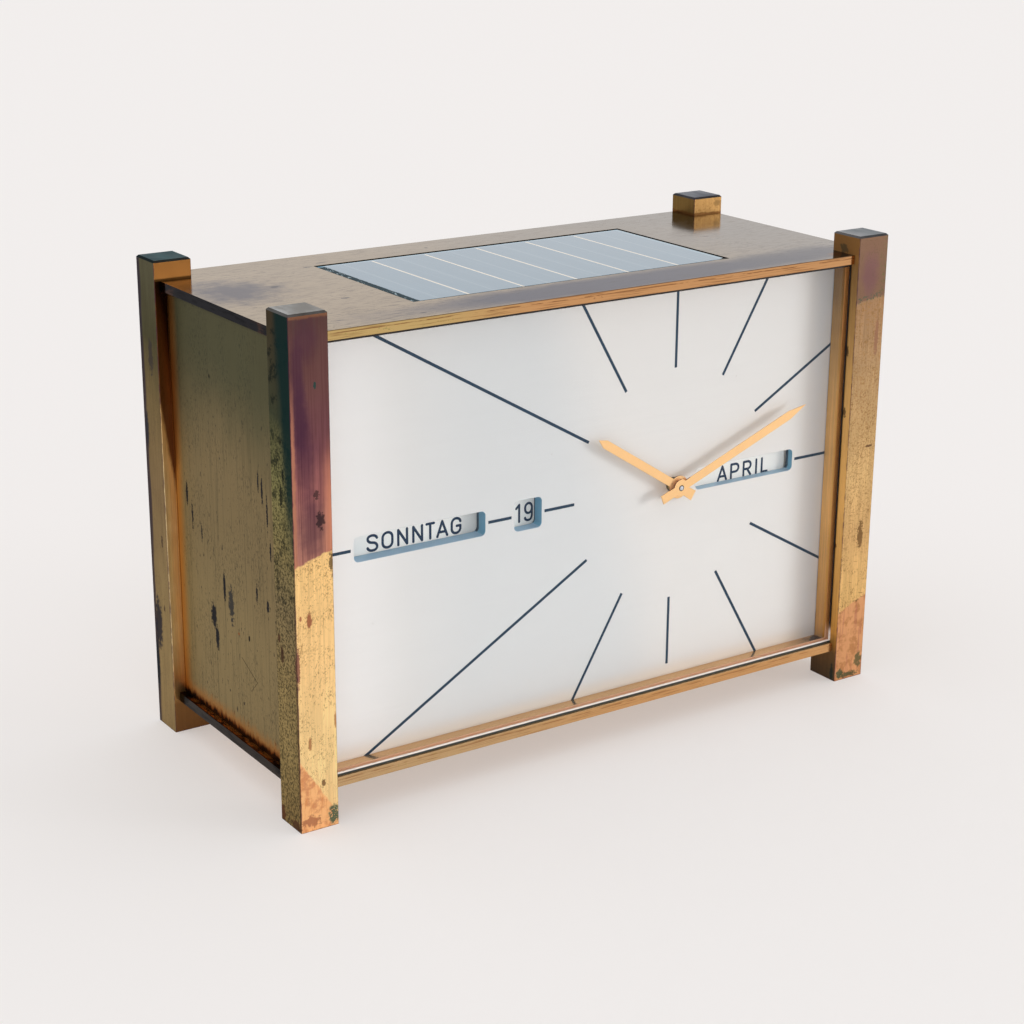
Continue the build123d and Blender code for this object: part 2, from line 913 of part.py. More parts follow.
day_wheel_reach = centre_distance(hour_wheel_teeth, day_wheel_teeth)
date_finger_reach = date_inner - day_wheel_reach - clear
day_finger_reach = hand_axis[0] - day_axis[0] - day_wheel_reach - day_star - clear
day_star_front = day_back
day_star_back = day_star_front + day_star_thickness
make_day_wheel(
    "date_drive_wheel",
    date_drive_axis,
    date_drive_phase,
    date_front,
    date_back,
    date_finger_reach,
    math.radians(date_finger_angle),
)
make_day_wheel(
    "day_drive_wheel",
    day_drive_axis,
    day_drive_phase,
    day_star_front + clear,
    day_star_back,
    day_finger_reach,
    math.radians(day_finger_angle),
)


# ---- Calendar: month disc, date ring, day disc ----
def notched_star(centre, radius, notches, notch_radius, star_front, star_back):
    """Add a star wheel: a disc with round notches in its rim."""
    with BuildSketch(layer(star_back)) as star:
        with Locations(centre):
            Circle(radius)
            with PolarLocations(radius, notches):
                Circle(notch_radius, mode=Mode.SUBTRACT)
    extrude(star.sketch, amount=star_back - star_front)


with BuildPart() as month_disc:
    turned(hand_axis, [(month_front, month_back, month_radius)])
    star_back = month_back + star_thickness
    notched_star(hand_axis, month_star, 12, month_notch, month_back, star_back)
    bored(hand_axis, month_front, star_back, tube_radius + running)
    with BuildSketch(layer(month_back)) as drive_holes:
        with Locations(hand_axis):
            with PolarLocations(month_radius - corrector_hole_inset, 12, start_angle=5):
                Circle(corrector_hole)
    extrude(drive_holes.sketch, amount=card_thickness, mode=Mode.SUBTRACT)
save(month_disc, "month_disc")

with BuildPart() as date_ring:
    turned(hand_axis, [(date_front, date_back, date_radius)])
    bored(hand_axis, date_front, date_back, date_inner)
    with BuildSketch(layer(date_back)) as ring_notches:
        with Locations(hand_axis):
            with PolarLocations(date_inner, 31):
                Circle(date_notch)
    extrude(ring_notches.sketch, amount=card_thickness, mode=Mode.SUBTRACT)
save(date_ring, "date_ring")

with BuildPart() as day_disc:
    turned(day_axis, [(day_front, day_back, day_radius)])
    notched_star(day_axis, day_star, 7, day_notch, day_star_front, day_star_back)
    bored(day_axis, day_front, day_star_back, tube_radius + running)
save(day_disc, "day_disc")

with BuildPart() as centre_tube:
    turned(
        hand_axis,
        [
            (dial_back + fit_gap, month_back + star_thickness + clear, tube_radius),
            (month_back + star_thickness + clear, chassis_front, tube_flange),
            (chassis_front, chassis_back, tube_seat),
        ],
    )
    bored(hand_axis, dial_back, chassis_back, hour_pipe_radius + running)
save(centre_tube, "centre_tube")

guide_circle = date_radius + guide_neck + guide_clearance

with BuildPart() as date_ring_guides:
    for angle in guide_angles:
        turned(
            polar(hand_axis, guide_circle, math.radians(angle)),
            [
                (dial_back, date_front - guide_play, guide_flange),
                (date_front - guide_play, date_back + guide_play, guide_neck),
                (date_back + guide_play, date_back + guide_head, guide_flange),
            ],
        )
save(date_ring_guides, "date_ring_guides")

with BuildPart() as wheel_studs:
    turned(
        day_axis,
        [
            (day_front + fit_gap, day_star_back + clear, tube_radius),
            (day_star_back + clear, chassis_front, tube_flange),
            (chassis_front, chassis_back, tube_radius),
        ],
    )
    turned(
        minute_wheel_axis,
        [
            (chassis_back + fit_gap, minute_wheel_back + clear, stud_radius),
            (minute_wheel_back + clear, plate_one_front, 2 * stud_radius),
            (plate_one_front, plate_one_back, stud_radius),
        ],
    )
save(wheel_studs, "wheel_studs")


def add_jumper(pivot, nose, jumper_front, jumper_back):
    """Add a calendar jumper: a pin on the chassis and an arm that ends at a star's rim."""
    heading = math.atan2(nose[1] - pivot[1], nose[0] - pivot[0])
    turned(pivot, [(jumper_front - fit_gap, chassis_front, jumper_pin)])
    turned(pivot, [(jumper_front, jumper_back, 2 * jumper_pin)])
    side = heading + math.pi / 2
    outline_prism(
        [
            polar(pivot, jumper_width / 2, side),
            nose,
            polar(pivot, -jumper_width / 2, side),
        ],
        jumper_front,
        jumper_back,
    )


with BuildPart() as calendar_jumpers:
    add_jumper(
        polar(hand_axis, month_star + month_jumper_length, math.radians(-75)),
        polar(hand_axis, month_star + clear, math.radians(-60)),
        month_back + clear,
        month_back + star_thickness,
    )
    add_jumper(
        polar(hand_axis, date_inner - date_jumper_length, math.radians(-60)),
        polar(hand_axis, date_inner - clear, math.radians(-45)),
        date_front,
        date_back,
    )
    add_jumper(
        (day_axis[0], day_axis[1] - day_star - day_jumper_length),
        (day_axis[0], day_axis[1] - day_star - clear),
        day_star_front + clear,
        day_star_back,
    )
save(calendar_jumpers, "calendar_jumpers")

# ---- Chassis plate and the spacers that hold it ----
chassis_x = panel_x - panel_thickness - chassis_margin
chassis_low = floor_z + chassis_margin
chassis_high = tray_low - chassis_top_gap
spacer_x = (inner_x + chassis_x) / 2
dial_foot_places = [
    (sx * (inner_x - foot_inset), z)
    for sx in (-1, 1)
    for z in (floor_z + foot_inset, tray_low - foot_inset)
]
spacer_places = [
    (sx * spacer_x, z)
    for sx in (-1, 1)
    for z in (floor_z + foot_inset, middle_z, chassis_high - foot_inset)
]

with BuildPart() as chassis_spacers:
    for place in dial_foot_places:
        turned(place, [(dial_back, chassis_front, spacer_radius)])
    for place in spacer_places:
        turned(place, [(-inner_y, chassis_front, spacer_radius)])
save(chassis_spacers, "chassis_spacers")

with BuildPart() as chassis_plate:
    block((-chassis_x, chassis_x), (chassis_front, chassis_back), (chassis_low, chassis_high))
    bored(hand_axis, chassis_front, chassis_back, tube_seat)
    bored(day_axis, chassis_front, chassis_back, tube_radius)
    for place in (date_drive_axis, day_drive_axis):
        bored(place, chassis_front, chassis_back, day_arbor + running)
    for place in (day_pusher_axis, date_pusher_axis, month_pusher_axis):
        bored(place, chassis_front, chassis_back, pusher_radius + running)
save(chassis_plate, "chassis_plate")

# ---- Movement plates and pillars ----
movement_x = (hand_axis[0] - movement_left, hand_axis[0] + movement_right)
movement_z = (hand_axis[1] - movement_below, hand_axis[1] + movement_above)

with BuildPart() as movement_front_plate:
    block(movement_x, (plate_one_front, plate_one_back), movement_z)
    bored(hand_axis, plate_one_front, plate_one_back, arbor_radius + running)
    bored(minute_wheel_axis, plate_one_front, plate_one_back, stud_radius)
    bored(setting_axis, plate_one_front, plate_one_back, setting_shaft + running)
    bored(barrel_axis, plate_one_front, plate_one_back, barrel_shaft + running)
    for place in (date_drive_axis, day_drive_axis):
        bored(place, plate_one_front, plate_one_front + day_pivot_hole, day_arbor + running)
    for place in (third_axis, fourth_axis, escape_axis, lever_axis, balance_axis):
        bored(place, plate_one_front, plate_one_back, pivot_radius + running)
save(movement_front_plate, "movement_front_plate")

with BuildPart() as movement_rear_plate:
    block(movement_x, (plate_two_front, plate_two_back), movement_z)
    bored(hand_axis, plate_two_front, plate_two_back, arbor_radius + running)
    bored(setting_axis, plate_two_front, plate_two_back, setting_shaft + running)
    bored(barrel_axis, plate_two_front, plate_two_back, barrel_shaft + running)
    bored(motor_axis, plate_two_front, plate_two_back, shaft_radius + 4 * running)
    for place in (third_axis, fourth_axis, escape_axis, lever_axis, balance_axis):
        bored(place, plate_two_front, plate_two_back, pivot_radius + running)
save(movement_rear_plate, "movement_rear_plate")

with BuildPart() as movement_pillars:
    for place in pillar_places:
        turned(
            place,
            [
                (chassis_back, plate_one_front, pillar_radius),
                (plate_one_back, plate_two_front, pillar_radius),
            ],
        )
save(movement_pillars, "movement_pillars")

# ---- Going train ----
drum_front = plate_one_back + drum_gap
drum_back = drum_front + drum_height
barrel_gear_front = drum_back
barrel_gear_back = barrel_gear_front + wheel_thickness
centre_pinion_front = barrel_gear_front - pinion_overlap
centre_pinion_back = barrel_gear_back + pinion_overlap
centre_wheel_front = centre_pinion_back + centre_wheel_gap
centre_wheel_back = centre_wheel_front + wheel_thickness
third_pinion_front = centre_wheel_front - pinion_overlap
third_pinion_back = centre_wheel_back + pinion_overlap
third_wheel_front = third_pinion_back + third_wheel_gap
third_wheel_back = third_wheel_front + wheel_thickness
fourth_pinion_front = third_wheel_front - pinion_overlap
fourth_pinion_back = third_wheel_back + pinion_overlap
fourth_wheel_front = plate_one_back + fourth_wheel_gap
fourth_wheel_back = fourth_wheel_front + wheel_thickness
escape_pinion_front = fourth_wheel_front - pinion_overlap
escape_pinion_back = fourth_wheel_back + pinion_overlap
escape_wheel_front = fourth_wheel_back + escape_wheel_gap
escape_wheel_back = escape_wheel_front + escape_thickness

barrel_phase = 0.0
centre_pinion_phase = meshed(
    barrel_phase, barrel_teeth, centre_pinion_teeth, barrel_heading + math.pi
)
centre_wheel_phase = 0.0
third_pinion_phase = meshed(
    centre_wheel_phase, centre_wheel_teeth, third_pinion_teeth, third_heading
)
third_wheel_phase = 0.0
fourth_pinion_phase = meshed(
    third_wheel_phase, third_wheel_teeth, fourth_pinion_teeth, fourth_heading
)
fourth_wheel_phase = 0.0
escape_pinion_phase = meshed(
    fourth_wheel_phase, fourth_wheel_teeth, escape_pinion_teeth, escape_heading
)


def add_arbor(axis, radius=shaft_radius):
    """Add an arbor between the movement plates, with a pivot in each of them."""
    turned(
        axis,
        [
            (plate_one_back - pivot_length, plate_one_back + shoulder_gap, pivot_radius),
            (plate_one_back + shoulder_gap, plate_two_front - shoulder_gap, radius),
            (plate_two_front - shoulder_gap, plate_two_front + pivot_length, pivot_radius),
        ],
    )


with BuildPart() as mainspring_barrel:
    turned(barrel_axis, [(drum_front, drum_back, drum_radius)])
    toothed(barrel_axis, barrel_teeth, barrel_phase, barrel_gear_front, barrel_gear_back)
    bored(barrel_axis, drum_front + drum_wall, drum_back - drum_wall, drum_radius - drum_wall)
    bored(barrel_axis, drum_front, barrel_gear_back, barrel_shaft + running)
save(mainspring_barrel, "mainspring_barrel")

spring_inner = barrel_core + clear
spring_room = drum_radius - drum_wall - spring_inner - spring_thickness
spring_pitch = (spring_room - spring_end_gap) / spring_coils


def spiral_points(centre, inner_radius, pitch, coils, thickness):
    """Both edges of a flat spiral band."""
    steps = points_per_turn * coils
    inside = []
    outside = []
    for step in range(steps + 1):
        angle = 2 * math.pi * step / points_per_turn
        radius = inner_radius + pitch * step / points_per_turn
        inside.append(polar(centre, radius, angle))
        outside.append(polar(centre, radius + thickness, angle))
    return inside, outside


def spiral_band(centre, inner_radius, pitch, coils, thickness, band_front, band_back):
    """Add a flat coiled spring."""
    inside, outside = spiral_points(centre, inner_radius, pitch, coils, thickness)
    with BuildSketch(layer(band_back)) as section:
        with BuildLine():
            inner_edge = Spline(inside)
            outer_edge = Spline(outside)
            Line(inner_edge @ 0, outer_edge @ 0)
            Line(inner_edge @ 1, outer_edge @ 1)
        make_face()
    extrude(section.sketch, amount=band_back - band_front)


with BuildPart() as mainspring:
    spiral_band(
        barrel_axis,
        spring_inner,
        spring_pitch,
        spring_coils,
        spring_thickness,
        drum_front + drum_wall + clear,
        drum_back - drum_wall - clear,
    )
save(mainspring, "mainspring")

winding_front = plate_two_back + winding_gap
winding_back = winding_front + wheel_thickness
winding_phase = 0.0
motor_pinion_phase = meshed(winding_phase, winding_teeth, motor_pinion_teeth, motor_heading)

with BuildPart() as winding_wheel:
    turned(
        barrel_axis,
        [
            (plate_one_back - pivot_length, winding_back, barrel_shaft),
            (drum_front + drum_wall + clear, drum_back - drum_wall - clear, barrel_core),
            (winding_front, winding_back + hub_proud, barrel_core),
        ],
    )
    toothed(barrel_axis, winding_teeth, winding_phase, winding_front, winding_back)
    crossed_out(
        barrel_axis,
        gear_module * winding_teeth / 2 - large_rim,
        barrel_core,
        winding_front,
        winding_back,
    )
save(winding_wheel, "winding_wheel")

with BuildPart() as motor_pinion:
    toothed(
        motor_axis,
        motor_pinion_teeth,
        motor_pinion_phase,
        winding_front,
        winding_back + pinion_overlap,
    )
    turned(
        motor_axis, [(plate_two_front - motor_shaft, winding_back + pinion_overlap, shaft_radius)]
    )
save(motor_pinion, "motor_pinion")

with BuildPart() as winding_motor:
    turned(motor_axis, [(plate_two_front - motor_length, plate_two_front, motor_radius)])
    chamfer(winding_motor.edges().group_by(Axis.Y)[0], length=motor_chamfer)
    bored(motor_axis, plate_two_front - motor_shaft - clear, plate_two_front, shaft_radius + running)
save(winding_motor, "winding_motor")

with BuildPart() as centre_wheel:
    turned(
        hand_axis,
        [
            (minute_hand_front - fit_gap, plate_two_front + pivot_length, arbor_radius),
            (plate_one_back + shoulder_gap, plate_two_front - shoulder_gap, 1.5 * shaft_radius),
            (centre_pinion_back, centre_wheel_back + hub_proud, centre_wheel_hub),
        ],
    )
    toothed(
        hand_axis, centre_pinion_teeth, centre_pinion_phase, centre_pinion_front, centre_pinion_back
    )
    toothed(
        hand_axis, centre_wheel_teeth, centre_wheel_phase, centre_wheel_front, centre_wheel_back
    )
    crossed_out(
        hand_axis,
        gear_module * centre_wheel_teeth / 2 - large_rim,
        centre_wheel_hub,
        centre_wheel_front,
        centre_wheel_back,
    )
save(centre_wheel, "centre_wheel")


def make_train_wheel(name, axis, pinion, pinion_phase, pinion_span, teeth, phase, span):
    """One arbor of the going train with its pinion and its wheel."""
    with BuildPart() as wheel:
        add_arbor(axis)
        toothed(axis, pinion, pinion_phase, *pinion_span)
        toothed(axis, teeth, phase, *span)
        crossed_out(axis, gear_module * teeth / 2 - train_rim, train_hub, *span)
        turned(axis, [(span[0] - hub_proud, span[1] + hub_proud, train_boss)])
    save(wheel, name)


make_train_wheel(
    "third_wheel",
    third_axis,
    third_pinion_teeth,
    third_pinion_phase,
    (third_pinion_front, third_pinion_back),
    third_wheel_teeth,
    third_wheel_phase,
    (third_wheel_front, third_wheel_back),
)
make_train_wheel(
    "fourth_wheel",
    fourth_axis,
    fourth_pinion_teeth,
    fourth_pinion_phase,
    (fourth_pinion_front, fourth_pinion_back),
    fourth_wheel_teeth,
    fourth_wheel_phase,
    (fourth_wheel_front, fourth_wheel_back),
)

with BuildPart() as escape_wheel:
    add_arbor(escape_axis)
    toothed(
        escape_axis,
        escape_pinion_teeth,
        escape_pinion_phase,
        escape_pinion_front,
        escape_pinion_back,
    )
    saw = []
    step = 2 * math.pi / escape_teeth
    for tooth in range(escape_teeth):
        start = tooth * step
        saw.append(polar(escape_axis, escape_root, start))
        saw.append(polar(escape_axis, escape_radius, start + escape_tip_share * step))
        saw.append(polar(escape_axis, escape_root, start + escape_back_share * step))
    outline_prism(saw, escape_wheel_front, escape_wheel_back)
    turned(
        escape_axis, [(escape_wheel_front - hub_proud, escape_wheel_back + hub_proud, escape_hub)]
    )
save(escape_wheel, "escape_wheel")

pallet_reach = escape_radius + pallet_clearance
fork_reach = balance_distance - fork_gap

with BuildPart() as pallet_lever:
    add_arbor(lever_axis, fine_arbor)
    turned(lever_axis, [(escape_wheel_front, escape_wheel_back, lever_hub)])
    for side in (-1, 1):
        pallet = polar(escape_axis, pallet_reach, lever_heading + side * pallet_angle)
        outline_prism(
            [
                polar(lever_axis, fine_arbor, lever_heading),
                polar(lever_axis, lever_arm, lever_heading + side * math.pi / 2),
                polar(pallet, pallet_width, lever_heading + side * math.pi / 2),
                pallet,
            ],
            escape_wheel_front,
            escape_wheel_back,
        )
    fork_end = polar(lever_axis, fork_reach, lever_heading)
    outline_prism(
        [
            polar(lever_axis, pallet_width, lever_heading + math.pi / 2),
            polar(lever_axis, pallet_width, lever_heading - math.pi / 2),
            polar(fork_end, fork_half_width, lever_heading - math.pi / 2),
            polar(fork_end, fork_half_width, lever_heading + math.pi / 2),
        ],
        escape_wheel_front,
        escape_wheel_back,
    )
save(pallet_lever, "pallet_lever")

balance_front = escape_wheel_back + balance_gap
balance_back = balance_front + balance_thickness

with BuildPart() as balance_wheel:
    turned(balance_axis, [(balance_front, balance_back, balance_radius)])
    bored(balance_axis, balance_front, balance_back, balance_radius - balance_rim)
    with BuildSketch(layer(balance_back - (balance_thickness - arm_thickness) / 2)) as arm:
        with Locations(balance_axis):
            Rectangle(2 * balance_radius - balance_rim, arm_width)
    extrude(arm.sketch, amount=arm_thickness)
    add_arbor(balance_axis, fine_arbor)
    turned(balance_axis, [(escape_wheel_front, escape_wheel_back, roller_radius)])
    turned(balance_axis, [(balance_front, balance_back, balance_hub)])
save(balance_wheel, "balance_wheel")

hairspring_front = balance_back + hairspring_gap
hairspring_back = hairspring_front + hairspring_height

with BuildPart() as hairspring:
    spiral_band(
        balance_axis,
        hairspring_inner,
        hairspring_pitch,
        hairspring_coils,
        hairspring_thickness,
        hairspring_front,
        hairspring_back,
    )
    stud_circle = hairspring_inner + hairspring_pitch * hairspring_coils + hairspring_thickness / 2
    stud_place = polar(balance_axis, stud_circle, 0)
    turned(stud_place, [(hairspring_front, plate_two_front, hairspring_stud)])
save(hairspring, "hairspring")


# ---- Push-pieces that correct the calendar ----
bush_back = panel_y + bush_proud
bush_front = bush_back - bush_length
pusher_rest = bush_front + bush_floor + pusher_travel + pusher_play


def make_pusher(name, axis, card_face):
    """A push-piece from the rear cover to just behind a calendar disc."""
    with BuildPart() as pusher:
        tip = card_face + pusher_travel + tip_clearance
        turned(
            axis,
            [
                (tip, tip + tip_length, tip_radius),
                (tip + tip_length, pusher_rest, pusher_radius),
                (pusher_rest, pusher_rest + pusher_head_length, pusher_head),
            ],
        )
        chamfer(pusher.edges().group_by(Axis.Y)[-1], length=pusher_chamfer)
    save(pusher, name)


make_pusher("day_corrector", day_pusher_axis, day_star_back)
make_pusher("date_corrector", date_pusher_axis, date_back)
make_pusher("month_corrector", month_pusher_axis, month_back)

with BuildPart() as corrector_bushes:
    for place in (day_pusher_axis, date_pusher_axis, month_pusher_axis):
        turned(place, [(bush_front, bush_back, bush_radius)])
        bored(place, bush_front, bush_front + bush_floor, pusher_radius + running)
        bored(place, bush_front + bush_floor, bush_back, pusher_head + running)
save(corrector_bushes, "corrector_bushes")

# ---- Accumulator in its clip, terminal board and leads ----
accumulator_y = chassis_back + clip_wall + cell_radius
accumulator_z = floor_z + accumulator_lift + cell_radius
accumulator_x = (accumulator_inset - chassis_x, accumulator_inset - chassis_x + cell_length)

with BuildPart() as accumulator:
    with BuildSketch(Plane.YZ.offset(accumulator_x[0])):
        with Locations((accumulator_y, accumulator_z)):
            Circle(cell_radius)
    extrude(amount=cell_length)
    fillet(accumulator.edges(), radius=cell_edge)
    with BuildSketch(Plane.YZ.offset(accumulator_x[1])):
        with Locations((accumulator_y, accumulator_z)):
            Circle(cell_button)
    extrude(amount=cell_button_height)
save(accumulator, "accumulator")

clip_places = (accumulator_x[0] + clip_inset, accumulator_x[1] - clip_inset)

with BuildPart() as accumulator_clip:
    for place in clip_places:
        with BuildSketch(Plane.YZ.offset(place - clip_width / 2)) as saddle:
            with Locations((accumulator_y, accumulator_z)):
                Circle(cell_radius + clip_wall)
            with Locations((accumulator_y + cell_radius, accumulator_z)):
                Rectangle(cell_radius, 2 * cell_radius + 2 * clip_wall, mode=Mode.SUBTRACT)
            with Locations((chassis_back + clip_wall / 2, accumulator_z)):
                Rectangle(clip_wall, 2 * cell_radius + 4 * clip_wall)
            with Locations((accumulator_y, accumulator_z)):
                Circle(cell_radius, mode=Mode.SUBTRACT)
        extrude(saddle.sketch, amount=clip_width)
save(accumulator_clip, "accumulator_clip")

board_x = (board_inset - chassis_x, board_inset - chassis_x + board_length)
board_z = (chassis_high - board_drop - board_height, chassis_high - board_drop)
board_front = chassis_back + board_standoff
board_back = board_front + board_thickness
terminal_x = (board_x[0] + terminal_inset, board_x[1] - terminal_inset)
terminal_z = (board_z[0] + terminal_inset, board_z[1] - terminal_inset)

with BuildPart() as terminal_board:
    block(board_x, (board_front, board_back), board_z)
    for x in terminal_x:
        for z in terminal_z:
            turned((x, z), [(chassis_back, board_front, standoff_radius)])
            turned((x, z), [(board_back, board_back + terminal_height, terminal_radius)])
save(terminal_board, "terminal_board")


def add_lead(points, bends):
    """Add one insulated lead along straight runs joined by arcs."""
    with BuildLine() as route:
        FilletPolyline(*points, radius=bends)
    start = route.line @ 0
    with BuildSketch(Plane(origin=start, z_dir=route.line % 0)) as section:
        Circle(lead_radius)
    sweep(section.sketch, path=route.line)


lead_level = board_back + terminal_height + lead_radius

with BuildPart() as lead_wires:
    for x, drop in zip(terminal_x, tray_lead_drops):
        add_lead(
            [
                (x, lead_level, terminal_z[1]),
                (x, lead_level, tray_low - drop),
                (x + tray_lead_shift[0], lead_level + tray_lead_shift[1], tray_low - drop),
                (x + tray_lead_shift[0], lead_level + tray_lead_shift[1], tray_low),
            ],
            tray_lead_bend,
        )
    lead_ends = (accumulator_x[0] - lead_end_gaps[0], accumulator_x[1] + lead_end_gaps[1])
    for x, end_x in zip(terminal_x, lead_ends):
        add_lead(
            [
                (x, lead_level, terminal_z[0]),
                (x, lead_level, accumulator_z + lead_turn_heights[0]),
                (end_x, lead_level, accumulator_z + lead_turn_heights[1]),
                (end_x, lead_level, accumulator_z),
            ],
            accumulator_lead_bend,
        )
save(lead_wires, "lead_wires")
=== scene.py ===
# Looks of the desk clock with calendar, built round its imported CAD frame.
# Places and sizes in this file are millimetres in the row frame until MM turns them into metres.
import math

import bmesh
import bpy
from mathutils import Matrix, Vector


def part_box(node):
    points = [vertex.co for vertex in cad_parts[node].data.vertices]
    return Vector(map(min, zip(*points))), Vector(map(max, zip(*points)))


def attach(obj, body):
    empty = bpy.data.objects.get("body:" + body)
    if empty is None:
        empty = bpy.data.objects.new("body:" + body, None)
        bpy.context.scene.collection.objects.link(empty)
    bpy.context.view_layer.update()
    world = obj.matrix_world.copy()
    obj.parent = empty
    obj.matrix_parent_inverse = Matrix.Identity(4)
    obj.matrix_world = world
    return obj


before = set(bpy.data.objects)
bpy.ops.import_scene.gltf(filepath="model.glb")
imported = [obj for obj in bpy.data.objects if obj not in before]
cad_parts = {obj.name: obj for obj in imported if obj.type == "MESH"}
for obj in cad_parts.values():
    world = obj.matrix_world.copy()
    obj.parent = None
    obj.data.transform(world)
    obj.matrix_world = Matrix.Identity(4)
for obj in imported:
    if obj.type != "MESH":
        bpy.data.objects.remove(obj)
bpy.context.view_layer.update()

MM = 0.001
CASE_HEIGHT = 149
HAND_AXIS = (31.333, 76.7)
DAY_AXIS = (-28.083, 76.7)


def rgb(red, green, blue):
    """A colour given as 0 to 255 on the screen, as the linear values a shader takes."""
    shares = [value / 255 for value in (red, green, blue)]
    return tuple(s / 12.92 if s <= 0.04045 else ((s + 0.055) / 1.055) ** 2.4 for s in shares) + (1,)


def node_box(name):
    """The lowest and highest corner of a CAD node, in millimetres."""
    low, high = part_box(name)
    return [value / MM for value in low], [value / MM for value in high]


# ---- materials

GLASS_IOR = 1.46
RING_PITCH = 0.22
SPOT_DEPTH = 1.5
GRAIN_AXES = {"x": (40, 1, 1), "y": (1, 40, 1), "z": (1, 1, 40)}
# Faces that carry spots, as an axis and the place along it.
POST_FRONT, POST_LEFT, RIGHT_POST_LEFT = (1, -47), (0, -106), (0, 94)
PLATE_FRONT, PLATE_TOP, LEDGE_TOP = (1, -43.2), (2, 143), (2, 13.2)
PANEL_LEFT, PANEL_RIGHT, COVER_BACK = (0, -102.2), (0, 102.2), (1, 43.2)
NORMALS = {"left": (0, -1), "right": (0, 1), "front": (1, -1), "back": (1, 1), "under": (2, -1), "top": (2, 1)}


def put(node, **values):
    """Sets a node's inputs by name, with an underscore for a space."""
    for name, value in values.items():
        node.inputs[name.replace("_", " ")].default_value = value


def feed(socket, value):
    """Links an input, or sets it. A colour is written as 0 to 255 and is converted here."""
    if isinstance(value, bpy.types.NodeSocket):
        socket.id_data.links.new(value, socket)
    else:
        socket.default_value = rgb(*value) if socket.type == "RGBA" else value


def calc(operation, *values):
    """A Math node, in the tree of the sockets among its values."""
    tree = next(value.id_data for value in values if isinstance(value, bpy.types.NodeSocket))
    node = tree.nodes.new("ShaderNodeMath")
    node.operation = operation
    for socket, value in zip(node.inputs, values):
        feed(socket, value)
    return node.outputs[0]


def gap(first, second):
    """How far two values lie apart."""
    return calc("ABSOLUTE", calc("SUBTRACT", first, second))


def step(value, low, high):
    """0 below low, 1 above high, smooth between. With high below low it falls instead."""
    node = value.id_data.nodes.new("ShaderNodeMapRange")
    node.interpolation_type = "SMOOTHSTEP"
    feed(node.inputs["Value"], value)
    ends = (low, high, 0, 1) if high > low else (high, low, 1, 0)
    put(node, **dict(zip(("From_Min", "From_Max", "To_Min", "To_Max"), ends)))
    return node.outputs["Result"]


def both(*masks):
    """All the masks multiplied."""
    result = masks[0]
    for mask in masks[1:]:
        result = calc("MULTIPLY", result, mask)
    return result


class Tree:
    """A node tree: methods add nodes and return their output sockets."""

    def __init__(self, tree):
        tree.nodes.clear()
        self.nodes, self.links = tree.nodes, tree.links

    def add(self, kind, **settings):
        node = self.nodes.new("ShaderNode" + kind)
        for name, value in settings.items():
            setattr(node, name, value)
        return node

    def fed(self, kind, *values, **settings):
        """The output of a new node whose first inputs take those values."""
        node = self.add(kind, **settings)
        for socket, value in zip(node.inputs, values):
            feed(socket, value)
        return node.outputs[0]

    def seen_rays(self):
        """1 for rays from the camera, from a mirror or through glass."""
        path = self.add("LightPath").outputs
        first = calc("MAXIMUM", path["Is Camera Ray"], path["Is Glossy Ray"])
        return calc("MAXIMUM", first, path["Is Transmission Ray"])

    def output(self, kind, shader):
        self.links.new(shader, self.add("Output" + kind).inputs[0])


